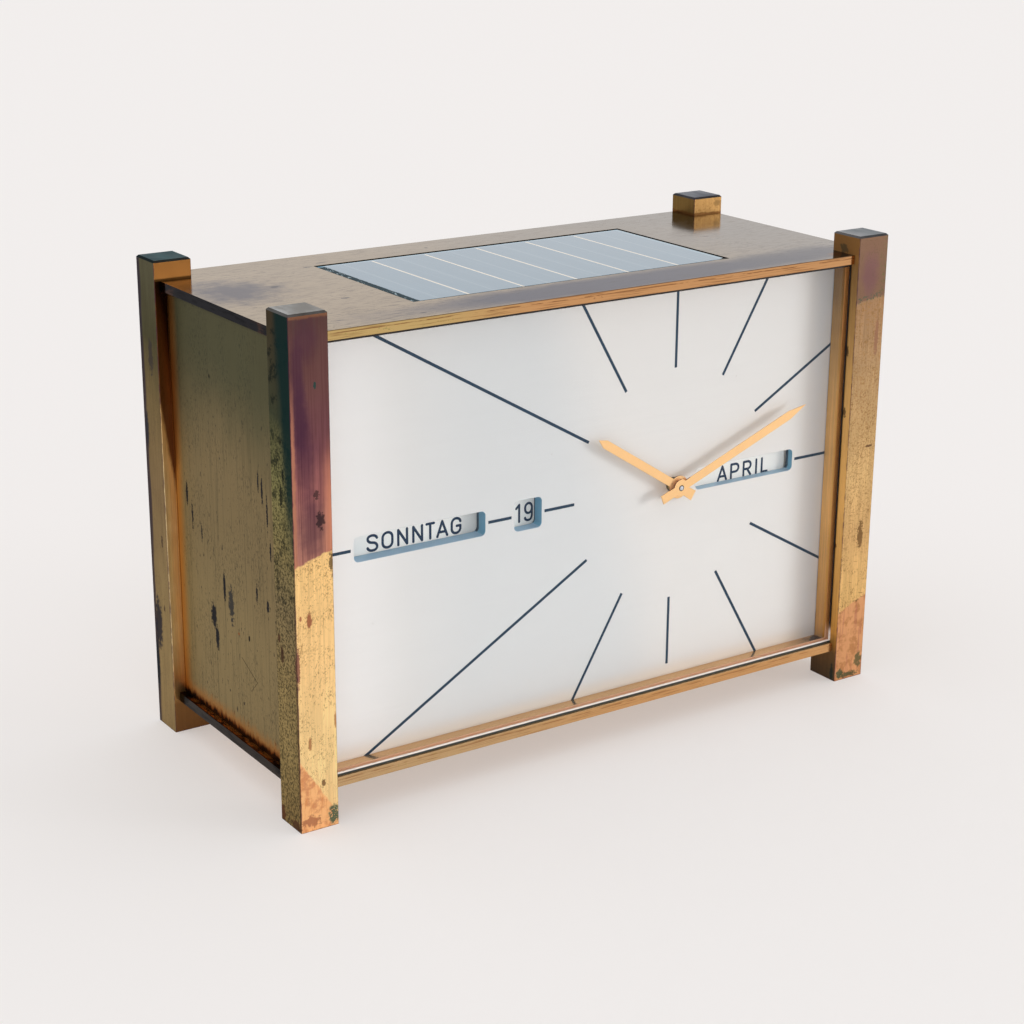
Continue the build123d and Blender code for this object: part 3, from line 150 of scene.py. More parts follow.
class Paint(Tree):
    """The node tree of one material."""

    def __init__(self, name):
        self.material = bpy.data.materials.new(name)
        self.material.use_nodes = True
        super().__init__(self.material.node_tree)
        self.seeds = 0
        where = self.add("TexCoord")
        self.place = self.vector("SCALE", where.outputs["Object"], scale=1 / MM)
        self.axes = self.split(self.place)
        self.facing = self.split(where.outputs["Normal"])
        self.colour = self.height = None
        self.roughness = 0.5

    def split(self, vector):
        node = self.add("SeparateXYZ")
        feed(node.inputs[0], vector)
        return node.outputs

    def vector(self, operation, *values, scale=None):
        node = self.add("VectorMath", operation=operation)
        for socket, value in zip(node.inputs, values):
            feed(socket, value)
        if scale is not None:
            put(node, Scale=scale)
        return node.outputs["Value" if operation == "LENGTH" else "Vector"]

    def mix(self, share, first, second, blend="MIX"):
        node = self.add("Mix", data_type="RGBA", blend_type=blend)
        for i, value in ((0, share), (6, first), (7, second)):
            feed(node.inputs[i], value)
        return node.outputs[2]

    def spread(self, size, stretch):
        """The place divided by a size along each axis, moved on by a seed, so that no two patterns match."""
        self.seeds += 1
        shares = [1 / (size * part) for part in stretch]
        shift = [self.seeds * 17.3, self.seeds * 5.9, self.seeds * 11.1]
        return self.vector("MULTIPLY_ADD", self.place, shares, shift)

    def noise(self, size, detail=3, stretch=(1, 1, 1), roughness=0.55, distortion=0):
        node = self.add("TexNoise")
        feed(node.inputs["Vector"], self.spread(size, stretch))
        put(node, Scale=1, Detail=detail, Roughness=roughness, Distortion=distortion)
        return node.outputs[0]

    def flecks(self, low, high, *shape, **more):
        """0 where a noise of that shape lies below low, 1 where it lies above high."""
        return step(self.noise(*shape, **more), low, high)

    def hairs(self, size, width, stretch=(1, 1, 1)):
        """1 on thin curly lines, where a warped noise crosses its middle value."""
        return step(gap(self.noise(size, 2, stretch, 0.5, 1.6), 0.5), width, width * 0.4)

    def scratches(self, turn, length, gap, level):
        """1 on short straight scratches. The turn lays the x axis along them."""
        self.seeds += 1
        node = self.add("Mapping", vector_type="TEXTURE")
        feed(node.inputs["Vector"], self.place)
        put(node, Location=[self.seeds * share for share in (7.1, 3.3, 5.7)], Rotation=turn, Scale=(length, gap, gap))
        marks = self.add("TexNoise")
        self.links.new(node.outputs[0], marks.inputs["Vector"])
        put(marks, Scale=1, Detail=1)
        return step(marks.outputs[0], level, level + 0.03)

    def border(self, shares, ragged, size, stretch=(1, 1, 1)):
        """A sloping height: the axes in those shares, and a noise of that reach round 0."""
        value = calc("MULTIPLY_ADD", self.noise(size, 4, stretch, 0.6), 2 * ragged, -ragged)
        for axis, share in zip(self.axes, shares):
            if share:
                value = calc("MULTIPLY_ADD", axis, share, value)
        return value

    def side(self, name):
        """1 on the faces that look that way."""
        axis, sign = NORMALS[name]
        return step(calc("MULTIPLY", self.facing[axis], sign), 0.55, 0.75)

    def ramp(self, stops, wobble=0, size=12):
        """A colour by height, from (height, red, green, blue) stops. The noise moves a border by the wobble."""
        node = self.add("ValToRGB")
        height = self.axes[2]
        if wobble:
            height = calc("MULTIPLY_ADD", self.noise(size, 4), 2 * wobble, height)
            height = calc("SUBTRACT", height, wobble)
        feed(node.inputs[0], calc("DIVIDE", height, CASE_HEIGHT))
        band = node.color_ramp.elements
        while len(band) > 1:
            band.remove(band[-1])
        (level, *colour), *rest = sorted(stops)
        band[0].position, band[0].color = level / CASE_HEIGHT, rgb(*colour)
        for level, *colour in rest:
            band.new(level / CASE_HEIGHT).color = rgb(*colour)
        return node.outputs[0]

    def near(self, centre, radii, ragged=0.5, soft=0.25, size=None):
        """1 inside a ragged ellipsoid."""
        shares = [1 / radius for radius in radii]
        shift = [-place / radius for place, radius in zip(centre, radii)]
        away = self.vector("LENGTH", self.vector("MULTIPLY_ADD", self.place, shares, shift))
        rag = self.noise(size or max(0.6, min(radii) * 0.8), 4)
        away = calc("MULTIPLY_ADD", rag, 2 * ragged, away)
        return step(away, 1 + ragged + soft, 1 + ragged - soft)

    # Layers. Each one works on the colour, the roughness or the height that the layers before it left.

    def lay(self, mask, colour, strength=1, rough=None):
        if strength != 1:
            mask = calc("MULTIPLY", mask, strength)
        self.colour = self.mix(mask, self.colour, colour)
        if rough is not None:
            node = self.add("Mix")
            for i, value in ((0, mask), (2, self.roughness), (3, rough)):
                feed(node.inputs[i], value)
            self.roughness = node.outputs[0]

    def shade(self, amount, low, high):
        """Multiplies the colour by low to high as the amount goes from 0 to 1."""
        node = self.add("MapRange")
        feed(node.inputs["Value"], amount)
        put(node, To_Min=low, To_Max=high)
        grey = self.add("CombineColor")
        for socket in grey.inputs[:3]:
            self.links.new(node.outputs[0], socket)
        self.colour = self.mix(1, self.colour, grey.outputs[0], "MULTIPLY")

    def vary_roughness(self, size, spread, level):
        self.roughness = calc("MULTIPLY_ADD", self.noise(size), spread, level)

    def raise_by(self, amount, height):
        lift = calc("MULTIPLY", amount, height)
        self.height = lift if self.height is None else calc("ADD", self.height, lift)

    def pores(self, size=0.35):
        self.raise_by(self.noise(size, 2), 0.01)

    def grain(self, axis, strength=0.12, size=0.22, depth=0.01, rough=0.1):
        """Brush marks along an axis: fine ones, and broader faint ones."""
        fine = self.noise(size, 2, GRAIN_AXES[axis])
        broad = self.noise(size * 5, 2, GRAIN_AXES[axis])
        both = calc("MULTIPLY_ADD", broad, 0.5, calc("MULTIPLY", fine, 0.5))
        marks = step(both, 0.3, 0.7)
        self.shade(marks, 1 - strength, 1 + strength * 0.7)
        self.raise_by(marks, depth)
        self.roughness = calc("MULTIPLY_ADD", marks, rough, self.roughness)

    def finish(self, metallic=0, bump=0.6, specular=0.5, edge_tint=1):
        node = self.add("BsdfPrincipled")
        for name, value in (("Base Color", self.colour), ("Roughness", self.roughness), ("Metallic", metallic)):
            feed(node.inputs[name], value)
        put(node, Specular_Tint=(edge_tint, edge_tint, edge_tint, 1), Specular_IOR_Level=specular)
        if self.height is not None:
            bumps = self.add("Bump")
            put(bumps, Strength=bump, Distance=MM)
            feed(bumps.inputs["Height"], self.height)
            self.links.new(bumps.outputs[0], node.inputs["Normal"])
        self.output("Material", node.outputs[0])
        return self.material


def wear(paint, box, colour, width=0.5, strength=0.8):
    """A worn line along the edges of a box, broken up by noise."""
    gaps = []
    for axis in range(3):
        low = calc("SUBTRACT", paint.axes[axis], box[0][axis])
        high = calc("SUBTRACT", box[1][axis], paint.axes[axis])
        gaps.append(calc("MINIMUM", low, high))
    first, second, third = gaps
    small, large = calc("MINIMUM", first, second), calc("MAXIMUM", first, second)
    gap = calc("MAXIMUM", small, calc("MINIMUM", large, third))
    gap = calc("MULTIPLY_ADD", paint.noise(2.5, 4), width * 1.6, gap)
    paint.lay(step(gap, width * 1.5, width * 0.9), colour, strength)


def spots(paint, face, marks, strength=0.85):
    """Ragged marks on a flat face, stains and in places painted shade: (across, up, half width, half height,
    raggedness, colour) each.
    """
    axis, level = face
    for across, up, half_across, half_up, ragged, colour in marks:
        centre, radii = [across, up], [half_across, half_up]
        centre.insert(axis, level)
        radii.insert(axis, SPOT_DEPTH)
        yield paint.near(centre, radii, ragged), colour, strength


# Colours of the aged brass, as they look in the light of the photograph.
PURPLE = (70, 42, 60)
TEAL_DARK = (20, 46, 46)
NAVY = (10, 18, 32)
BLACK = (16, 12, 10)
VERDIGRIS = (44, 92, 76)
PATINA_GREEN = (104, 124, 70)


def post_material(name, front, left, right, back, top, stains_and_light, left_metal=1):
    paint = Paint(name)
    lay = paint.lay
    paint.colour = paint.ramp(front, 1.5, 4)
    # each face takes its own ramp, so the light and shade of each side are painted into the colour
    for side, stops in (("left", left), ("right", right), ("back", back)):
        lay(paint.side(side), paint.ramp(stops, 5, 9))
    paint.shade(paint.noise(7, 5, (1, 1, 2.5)), 0.84, 1.14)
    paint.shade(paint.flecks(0.35, 0.65, 0.4, 3, (1, 1, 50), 0.6), 1.06, 0.93)
    paint.grain("z", 0.14, 0.2)
    paint.vary_roughness(5, 0.2, 0.28)
    for mask, colour, strength in stains_and_light(paint):
        lay(mask, colour, strength)
    lay(paint.side("top"), paint.mix(paint.flecks(0.35, 0.7, 5, 5, (1, 3, 1)), top[0], top[1]))
    # painted shade: the slanted faces of the top rim near black
    rim = both(step(paint.facing[2], 0.3, 0.5), step(paint.facing[2], 0.95, 0.8))
    lay(rim, BLACK, 0.8)
    wear(paint, node_box(name), PURPLE, 0.42, 0.7)
    metal = 1
    if left_metal < 1:
        metal = calc("MULTIPLY_ADD", paint.side("left"), left_metal - 1, 1)
    return paint.finish(metallic=metal, specular=0.3, edge_tint=0.5)


def marked(paint, zone, colour, share=0):
    """Marks of age inside a zone: fine dots in clusters, curly hairlines and a few straight scratches."""
    cluster = paint.flecks(0.42 - share, 0.56 - share, 6.5)
    dots = paint.flecks(0.56 - share, 0.64 - share, 0.45, 3, (1, 1, 1.4), 0.6)
    yield both(zone, cluster, dots), colour, 0.55
    curls = paint.flecks(0.48 - share, 0.58 - share, 8)
    yield both(zone, curls, paint.hairs(2.6, 0.009, (1, 1, 1.5))), colour, 0.55
    for turn in (0.25, -1.25):
        yield both(zone, paint.scratches((0, turn, 0), 6, 0.5, 0.73)), colour, 0.6


def stains_front_left(paint):
    flecks, border = paint.flecks, paint.border
    front, left = paint.side("front"), paint.side("left")
    _, y, z = paint.axes
    # the upper part is coppery, purple down its middle and plum below; the border rises to the right
    edge = border((-0.33, 0, 1), 1.3, 2.2)
    high = both(front, step(edge, 113.5, 114.3))
    yield high, paint.ramp(COPPER_TOP, 3, 6), 1
    streaks = flecks(0.38, 0.66, 0.4, 3, (1, 1, 70), 0.6)
    yield both(high, streaks), (84, 50, 52), 0.5
    for centre, radii, strength in (((-101, -47, 142), (3.4, 4, 5.5), 0.45),
                                    ((-103.4, -47, 133), (1.8, 4, 8), 0.6),
                                    ((-103, -47, 121), (2, 4, 10), 0.75),
                                    ((-101.6, -47, 110), (2.4, 4, 12), 0.55),
                                    ((-100.4, -47, 90), (3.4, 4, 8), 0.6)):
        yield both(paint.near(centre, radii, 0.5, 0.55, 3), high), PURPLE, strength
    rim = both(step(border((1, 0, 0), 0.5, 3), -104.5, -105.3), high)
    yield both(rim, step(z, 134, 112)), (190, 128, 100), 0.7
    rim = both(step(border((1, 0, 0), 0.6, 3), -97.4, -94.4), high, step(z, 118, 96))
    yield rim, (204, 134, 104), 0.75
    yield both(high, step(border((0, 0, 1), 0.5, 1.5), 147.3, 148)), (128, 88, 64), 0.7
    # marks on the bright lower part, dense near its top
    low = both(front, step(edge, 114, 113.2))
    dense = both(low, step(z, 30, 78))
    yield from marked(paint, low, (128, 90, 50))
    pepper = flecks(0.52, 0.6, 0.5, 3, (1, 1, 1.2), 0.6)
    yield both(dense, pepper, flecks(0.42, 0.62, 5)), (140, 102, 58), 0.6
    foot = border((1.55, 0, 1), 1.1, 2.5)
    foot = both(step(foot, -141.8, -142.8), front)
    yield foot, (255, 194, 134), 0.9
    yield both(foot, flecks(0.46, 0.66, 2.4, 5, roughness=0.65)), (206, 132, 92), 0.7
    yield both(foot, flecks(0.54, 0.64, 0.5, 3, (1, 1, 12))), (226, 150, 90), 0.5
    yield from spots(paint, POST_FRONT, (
        (-101.8, 63.4, 0.75, 2.2, 0.6, (150, 84, 62)), (-104.5, 64.5, 0.35, 0.8, 0.5, (160, 96, 70)),
        (-105.6, 50, 0.5, 5.5, 0.8, (128, 76, 70)), (-102.6, 26.8, 0.5, 2, 0.5, (166, 112, 72)),
        (-94.4, 32.3, 0.45, 2.2, 0.6, (184, 128, 80)), (-98.4, 129.3, 0.45, 0.9, 0.7, (26, 66, 62)),
        (-97.6, 91.4, 1.2, 2.4, 1.4, (52, 40, 42)), (-98.8, 99, 0.8, 1.2, 1.4, (70, 50, 50)),
        (-98.6, 13.9, 0.7, 1.2, 1.3, (112, 80, 52)), (-94.6, 79, 0.6, 3, 1.3, (90, 70, 46)),
        (-103, 3, 2.6, 1.6, 1.3, (178, 116, 84))))
    green = both(paint.near((-95.5, -47, 3.6), (1.7, 2.5, 3), 0.45), flecks(0.36, 0.46, 0.5))
    yield green, VERDIGRIS, 0.9
    # the left face: peppered khaki, deep teal along the front edge of its upper half
    pepper = flecks(0.46, 0.56, 0.75, 4, (1, 1, 1.1), 0.75)
    yield both(left, pepper, step(z, 128, 108)), (34, 38, 28), 0.68
    clots = both(flecks(0.5, 0.62, 4, 4), flecks(0.42, 0.5, 0.8, 4, roughness=0.7))
    yield both(left, clots, step(z, 56, 70)), (16, 26, 26), 0.7
    teal = border((0, -1, 0.08), 1.2, 3, (1, 1, 3))
    yield both(left, step(teal, 48.6, 53.4), step(z, 74, 100)), TEAL_DARK, 0.9
    yield both(left, step(y, -45.6, -46.6), step(z, 84, 40)), (84, 56, 44), 0.6
    yield from spots(paint, POST_LEFT, (
        (-38.6, 51.5, 0.9, 2.6, 0.9, (70, 46, 36)), (-37, 56, 0.7, 1.2, 0.9, (84, 56, 42)),
        (-41, 113.5, 0.35, 0.7, 0.4, BLACK), (-40.6, 98, 0.8, 3, 1.3, (16, 26, 26)),
        (-42, 104, 0.5, 2, 1.2, (16, 26, 26)), (-36, 2, 1.6, 2.6, 0.8, (104, 62, 44)),
        (-44, 1.5, 2.6, 1.4, 1.2, (92, 60, 44))))


def stains_front_right(paint):
    front, left = paint.side("front"), paint.side("left")
    x, _, z = paint.axes
    specks = paint.flecks(0.52, 0.62, 0.75, 4, (1, 1, 0.8), 0.65)
    edge = paint.border((-0.12, 0, 1), 0.9, 1.6)
    high = both(front, step(edge, 116.4, 117))
    yield high, (112, 86, 70), 0.95
    yield both(high, paint.near((99.2, -47, 137), (3.2, 3, 6.5), 0.5, 0.5, 3)), (106, 76, 76), 0.8
    yield both(high, step(x, 102, 105.6), specks), (88, 90, 58), 0.9
    yield from marked(paint, high, (92, 76, 56))
    band = gap(edge, 117.2)
    yield both(front, step(band, 1.3, 0.5), specks), (62, 82, 66), 0.95
    low = both(front, step(edge, 116.6, 116))
    yield both(low, specks, step(z, 20, 90)), (142, 104, 60), 0.6
    yield from marked(paint, low, (116, 82, 46), 0.02)
    foot = paint.border((-0.42, 0, 1), 1.1, 2.2)
    yield both(front, step(foot, -15, -15.8)), (212, 154, 108), 0.95
    yield both(front, step(foot, -15, -15.8), paint.flecks(0.45, 0.62, 2.6, 5, roughness=0.65)), (172, 118, 74), 0.7
    streak = paint.flecks(0.5, 0.66, 0.8, 3, (1, 1, 14))
    yield both(front, step(foot, -15.4, -16.4), streak), (166, 100, 86), 0.5
    line = calc("ABSOLUTE", calc("ADD", foot, 15.4))
    yield both(front, step(line, 0.7, 0.25), specks), (96, 84, 54), 0.9
    yield from spots(paint, POST_FRONT, (
        (103, 80.2, 1.5, 0.4, 0.8, (92, 62, 46)), (101.6, 50, 1, 4, 1.5, (110, 80, 50)),
        (96.2, 2.2, 1.4, 1.5, 1.2, (58, 84, 62)), (104, 6, 1.6, 2.2, 1.4, (92, 92, 62)),
        (100, 1.4, 4, 0.8, 1.4, (74, 84, 60)), (103.4, 116, 0.8, 6, 1.2, (134, 96, 76))))
    # the left face carries a painted reflection of what it mirrors, bright below the top plate; above the plate it is
    # plain brown
    yield both(left, step(z, 143, 143.3)), (134, 94, 48), 0.85
    yield from spots(paint, RIGHT_POST_LEFT, (
        (-43.9, 46.9, 0.5, 0.7, 0.4, (110, 56, 30)), (-45.4, 2.5, 0.8, 3.2, 1, (24, 36, 26)),
        (-44, 112, 0.7, 1.6, 1.2, (74, 52, 36)), (-44.4, 92, 0.7, 1.4, 1.2, (84, 62, 40)),
        (-40, 144.5, 1.6, 1.6, 1.3, (80, 66, 40))))


def stains_and_shade_rear_left(paint):
    front, left = paint.side("front"), paint.side("left")
    z = paint.axes[2]
    rim = paint.border((0, -1, 0), 1.3, 6, (1, 1, 4))
    yield both(step(rim, -44.3, -45.4), left), (54, 48, 62), 0.85
    yield from spots(paint, POST_LEFT, (
        (43.6, 34, 2.2, 8, 0.8, (20, 32, 54)), (45.8, 20, 1.2, 8, 0.8, (30, 42, 50)),
        (45, 96, 1, 6, 0.9, (46, 50, 62)), (40, 120, 1.4, 5, 1.2, (70, 64, 60)),
        (38.4, 62, 0.5, 2, 1.2, (84, 66, 52)), (39, 40, 0.5, 1.2, 1.2, (84, 66, 52))))
    yield from marked(paint, left, (84, 66, 54), -0.02)
    # the front face: amber between the plates, with painted shade darkening it through brown to black towards the top
    # and towards the side panel
    shade_border = paint.border((1, 0, 0.14), 0.5, 2.4, (1, 1, 2.5))
    yield both(front, step(shade_border, -91.6, -90.4), step(z, 143.2, 142.8)), (92, 48, 22), 0.9
    yield both(front, step(shade_border, -88, -84), step(z, 143.2, 142.8)), BLACK, 0.95
    ember = paint.flecks(0.62, 0.68, 0.6)
    yield both(front, ember, step(z, 100, 112), step(z, 143.2, 142.8)), (90, 46, 24), 0.6
    yield both(front, step(z, 143, 143.6)), (180, 124, 66), 0.95
    yield both(front, step(z, 143.9, 143.3), step(z, 142.8, 143.2)), BLACK, 0.8
    # painted shade: darker below the bottom plate
    yield both(front, step(z, 13, 9)), (110, 76, 44), 0.8


def stains_rear_right(paint):
    front = paint.side("front")
    z = paint.axes[2]
    yield from marked(paint, calc("ADD", front, paint.side("left")), (116, 82, 44), 0.03)
    foot = paint.border((0, 0, 1), 0.5, 1.6)
    yield both(step(foot, 144, 143.3), step(foot, 142, 142.6)), (96, 60, 30), 0.8
    yield paint.near((104, 35, 146.5), (1.6, 1.5, 1), 0.9), (120, 92, 56), 0.7


# Ramps by height for the faces of the posts, with light and shade painted in: lit fronts, shaded left and back faces,
# and a painted reflection on the left face of the front right post.
LIT_FRONT = [(0, 255, 212, 150), (20, 255, 220, 156), (50, 252, 210, 146), (80, 244, 202, 136)]
COPPER_TOP = [(78, 186, 128, 112), (88, 176, 122, 108), (100, 156, 100, 96), (112, 114, 72, 78),
              (128, 104, 70, 68), (140, 94, 66, 62), (147, 84, 62, 58)]
SHADED_SIDE = [(0, 164, 138, 90), (20, 178, 154, 102), (45, 164, 142, 96), (65, 148, 130, 94),
             (82, 156, 140, 94), (100, 146, 140, 92), (120, 70, 74, 56), (147, 70, 60, 46)]
WARM_RIGHT = [(0, 150, 116, 72), (20, 208, 162, 98), (100, 198, 152, 94), (145, 142, 108, 68)]
REFLECTION_LIT_LEFT = [(0, 72, 54, 30), (10, 104, 76, 40), (16, 204, 146, 70), (60, 242, 184, 104),
                (100, 216, 166, 98), (130, 150, 114, 66), (147, 144, 102, 54)]
SHADED_BACK = [(0, 166, 132, 88), (50, 196, 158, 104), (110, 176, 136, 94), (147, 122, 94, 76)]
RIGHT_FRONT = [(0, 222, 172, 108), (30, 222, 180, 117), (50, 206, 166, 112), (70, 206, 170, 117),
               (88, 183, 150, 105), (108, 161, 131, 96), (125, 146, 115, 85), (147, 122, 94, 72)]
SHADED_OLIVE_LEFT = [(0, 165, 140, 97), (40, 161, 138, 95), (80, 146, 122, 87), (105, 132, 113, 76),
              (125, 86, 82, 58), (148, 98, 95, 73)]
REAR_FRONT = [(0, 104, 72, 44), (13, 196, 150, 92), (30, 250, 226, 176), (80, 250, 226, 174),
              (110, 230, 180, 110), (147, 168, 112, 46)]
STUB_FRONT = [(0, 150, 112, 66), (100, 160, 122, 76), (144, 166, 128, 78)]
STUB_LEFT = [(0, 110, 88, 56), (100, 116, 92, 54), (148, 116, 92, 52)]


def aged_plate(name, base, grain, stains_and_light, metallic=0.9, rough=0.2, mottle=(0.9, 1.08), polish=0.12):
    paint = Paint(name)
    paint.colour = base
    paint.vary_roughness(14, polish, rough)
    paint.shade(paint.noise(22, 5), *mottle)
    paint.grain(grain, 0.08, 0.24, 0.003, 0.04)
    for mask, colour, strength in stains_and_light(paint):
        paint.lay(mask, colour, strength)
    return paint.finish(metallic=metallic, bump=0.3, specular=0.3, edge_tint=0.6)


def edge_lines(paint, front, colour, level):
    """Dark lines along the front edge of a plate."""
    z = paint.axes[2]
    wander = calc("MULTIPLY_ADD", paint.noise(6, 3, (3, 1, 1)), 0.5, z)
    line = step(gap(wander, level), 0.2, 0.08)
    yield both(front, line, paint.flecks(0.4, 0.55, 2, 4, (3, 1, 1))), colour, 0.75
    lines = paint.flecks(0.52, 0.64, 0.32, 3, (50, 1, 1), 0.6)
    yield both(front, lines), colour, 0.55


def stains_top(paint):
    flecks = paint.flecks
    front, top, left = paint.side("front"), paint.side("top"), paint.side("left")
    x, y, z = paint.axes
    # gold with green at the left of the front edge, coppery from there on
    yield front, paint.mix(step(x, -66, -20), (202, 172, 114), (208, 156, 106)), 1
    yield from edge_lines(paint, front, (124, 78, 46), 142.3)
    yield both(front, step(z, 142.65, 142.9)), (60, 44, 40), 0.75
    yield from spots(paint, PLATE_FRONT, (
        (-75, 141.4, 5, 1, 1.4, PATINA_GREEN), (-58, 141, 9, 0.7, 1.5, (150, 140, 76)),
        (-88, 141.6, 6, 1, 1.5, (170, 150, 90)), (-6, 141.8, 6, 0.9, 1.4, (110, 72, 50))))
    # the left edge is nearly black, with rust at its ends
    yield left, (34, 34, 38), 1
    rust = step(calc("ABSOLUTE", y), 18, 34)
    yield both(left, rust, flecks(0.42, 0.6, 3, 4, (1, 2, 1))), (88, 62, 50), 0.8
    yield both(left, flecks(0.52, 0.62, 0.5, 3, (1, 12, 1))), (16, 16, 20), 0.7
    # greyer towards the right and the back
    grey = paint.border((0.012, 0.008, 0), 0.5, 40)
    yield both(top, step(grey, -0.4, 1.4)), (148, 147, 146), 0.75
    yield both(top, flecks(0.5, 0.66, 0.7, 4, (7, 1, 1), 0.65)), (122, 108, 94), 0.65
    # the bluish dark band in front of the light cells
    band = paint.near((12, -38, 143), (76, 9, 3), 0.3, 0.4, 12)
    yield both(top, band), (66, 70, 92), 0.92
    band = paint.near((78, -36, 143), (30, 8, 3), 0.5, 0.5, 10)
    yield both(top, band), (82, 82, 94), 0.8
    brush = flecks(0.56, 0.66, 1, 4, (6, 1, 1), 0.65)
    yield both(top, brush, step(y, -12, -30)), (66, 62, 70), 0.7
    cloud = paint.near((-93, 10, 143), (12, 13, 3), 0.9, 0.7, 5)
    yield both(top, cloud), (78, 76, 90), 0.9
    yield both(top, paint.near((91, -41, 143), (3.5, 2.5, 3), 0.4, 0.5, 3)), (140, 92, 54), 0.7
    yield from spots(paint, PLATE_TOP, (
        (-79.7, 10, 1.5, 1, 0.8, (56, 52, 62)), (-69.7, -13.4, 1.5, 0.6, 0.8, (70, 64, 68)),
        (-12.8, 35.8, 0.6, 0.7, 0.6, (50, 46, 50)), (-60.9, -40.7, 1, 0.5, 0.8, (60, 56, 62)),
        (-52, 33, 1.6, 0.5, 1.2, (90, 84, 84)), (-88.5, -20, 1.2, 0.4, 1.2, (96, 88, 86)),
        (74, 4, 1.2, 0.4, 1.2, (92, 90, 92)), (-58.4, 29.6, 1.5, 0.5, 1, (40, 38, 40))))
    fine = flecks(0.6, 0.68, 0.6, 4, (2.2, 1, 1), 0.62)
    yield both(top, fine, flecks(0.4, 0.6, 16)), (70, 60, 54), 0.75


def stains_and_shade_bottom(paint):
    front, left, top = paint.side("front"), paint.side("left"), paint.side("top")
    x = paint.axes[0]
    yield front, paint.mix(step(x, -60, 20), (202, 168, 122), (210, 160, 106)), 1
    yield from edge_lines(paint, front, (150, 98, 52), 12.7)
    yield from spots(paint, PLATE_FRONT, (
        (-72, 11.9, 6, 0.6, 1.5, (168, 156, 90)), (-80, 10.9, 1, 0.4, 1.2, (110, 110, 60)),
        (-60, 12.6, 5, 0.5, 1.5, (176, 156, 92)), (92.8, 12, 1.2, 1.2, 1.2, (58, 78, 52)),
        (40, 11.4, 8, 0.5, 1.5, (176, 128, 78))))
    yield left, (56, 50, 46), 1
    yield both(left, paint.flecks(0.5, 0.62, 0.5, 3, (1, 12, 1))), (24, 20, 20), 0.8
    shelf = both(top, step(x, -101.6, -102.4))
    yield shelf, (206, 124, 46), 0.95
    yield both(shelf, paint.flecks(0.46, 0.6, 2, 4, (1, 2, 1), 0.65)), (54, 24, 10), 0.9
    yield both(shelf, step(x, -103.6, -103.9)), (30, 22, 18), 0.8
    # painted shade: black in the corners of the ledge beside the posts
    yield from spots(paint, LEDGE_TOP, ((-104, -32, 3, 5, 0.9, BLACK), (-104, 32, 3, 4, 0.9, BLACK)), 0.95)
    # painted shade in the front corners of the floor behind the glass, and fine dirt flecks over the floor
    yield both(top, paint.near((92, -40, 13.2), (4.5, 3, 2), 1.2, 0.4, 1.5)), (52, 46, 44), 0.85
    yield both(top, paint.near((-92, -41, 13.2), (3, 1.5, 2), 1.2, 0.4, 1.5)), (150, 104, 76), 0.7
    yield both(top, paint.flecks(0.64, 0.7, 0.7, 4, (3, 1, 1), 0.62)), (150, 104, 76), 0.6


def stains_and_shade_panel(paint):
    left = paint.side("left")
    z = paint.axes[2]
    lit = paint.border((0, 0.12, -1), 13, 26, (1, 1, 1.6))
    yield step(lit, -128, -88), (142, 123, 87), 0.9
    yield step(lit, -80, -40), (154, 135, 94), 0.7
    yield paint.flecks(0.5, 0.7, 0.6, 3, (1, 1, 50), 0.6), (84, 78, 56), 0.4
    # fine dashes that run down, thick in clusters, and coarser ones among them
    cluster = paint.flecks(0.4, 0.62, 12, 4, (1, 1, 1.5), 0.6)
    dashes = paint.flecks(0.52, 0.62, 0.5, 4, (1, 1, 3), 0.66)
    yield both(left, cluster, dashes), (28, 32, 30), 0.5
    sparse = paint.flecks(0.65, 0.69, 0.7, 3, (1, 1, 4), 0.62)
    yield both(left, sparse, step(z, 128, 110)), NAVY, 0.85
    yield from spots(paint, PANEL_LEFT, (
        (4.2, 57.3, 0.75, 4.6, 0.6, NAVY), (12, 46, 1.7, 3.6, 0.9, NAVY), (10.2, 39.5, 1.1, 3.6, 1, NAVY),
        (-23.3, 60, 0.75, 1.8, 0.8, NAVY), (-16.7, 61.8, 0.5, 2.6, 1.3, NAVY), (27.2, 80, 0.7, 3.6, 0.9, NAVY),
        (-21.9, 94, 0.5, 4, 1.3, NAVY), (-24.6, 88, 0.45, 4.4, 1.3, NAVY), (-19.6, 96, 0.4, 3, 1.3, NAVY),
        (24, 74, 0.5, 4, 1.3, NAVY), (-26, 77, 0.4, 3, 1.3, NAVY), (18, 70, 0.4, 2.6, 1.3, NAVY),
        (0, 53, 1.5, 5, 1.6, (60, 58, 56)), (-10.9, 46.1, 0.5, 0.9, 0.3, BLACK),
        (8.8, 120, 0.35, 0.6, 0.3, BLACK), (-4.2, 45.4, 0.4, 0.4, 0.3, (150, 84, 40)),
        (-6, 24, 0.4, 0.5, 0.6, (60, 50, 44)), (3, 25, 0.3, 0.4, 0.6, (60, 50, 44)),
        (-1.4, 20.5, 0.3, 0.9, 0.9, (60, 50, 44))), 0.95)
    yield thin_line(paint, (-5.5, 38.5), (-15.1, 33.7), 0.16), (40, 30, 22), 0.9
    yield thin_line(paint, (-15.1, 33.7), (-11, 29.7), 0.14), (60, 46, 32), 0.7
    # amber along the rear; along the foot, painted shade darkening into the corner with the ledge, black at the joint
    rear = paint.border((0, 1, 0), 0.5, 5, (1, 1, 4))
    yield step(rear, 28.5, 34.5), (190, 130, 64), 0.9
    yield step(gap(rear, 34.4), 0.5, 0.1), (96, 58, 24), 0.7
    foot = paint.border((0, 0, 1), 2.6, 1.5, (1, 1, 2.6))
    yield step(foot, 20, 15.6), (180, 116, 46), 0.6
    yield step(foot, 16.6, 14.6), (110, 60, 22), 0.9
    yield step(foot, 15, 14.2), (20, 10, 6), 0.95
    yield step(z, 138, 140.2), (58, 54, 44), 0.6


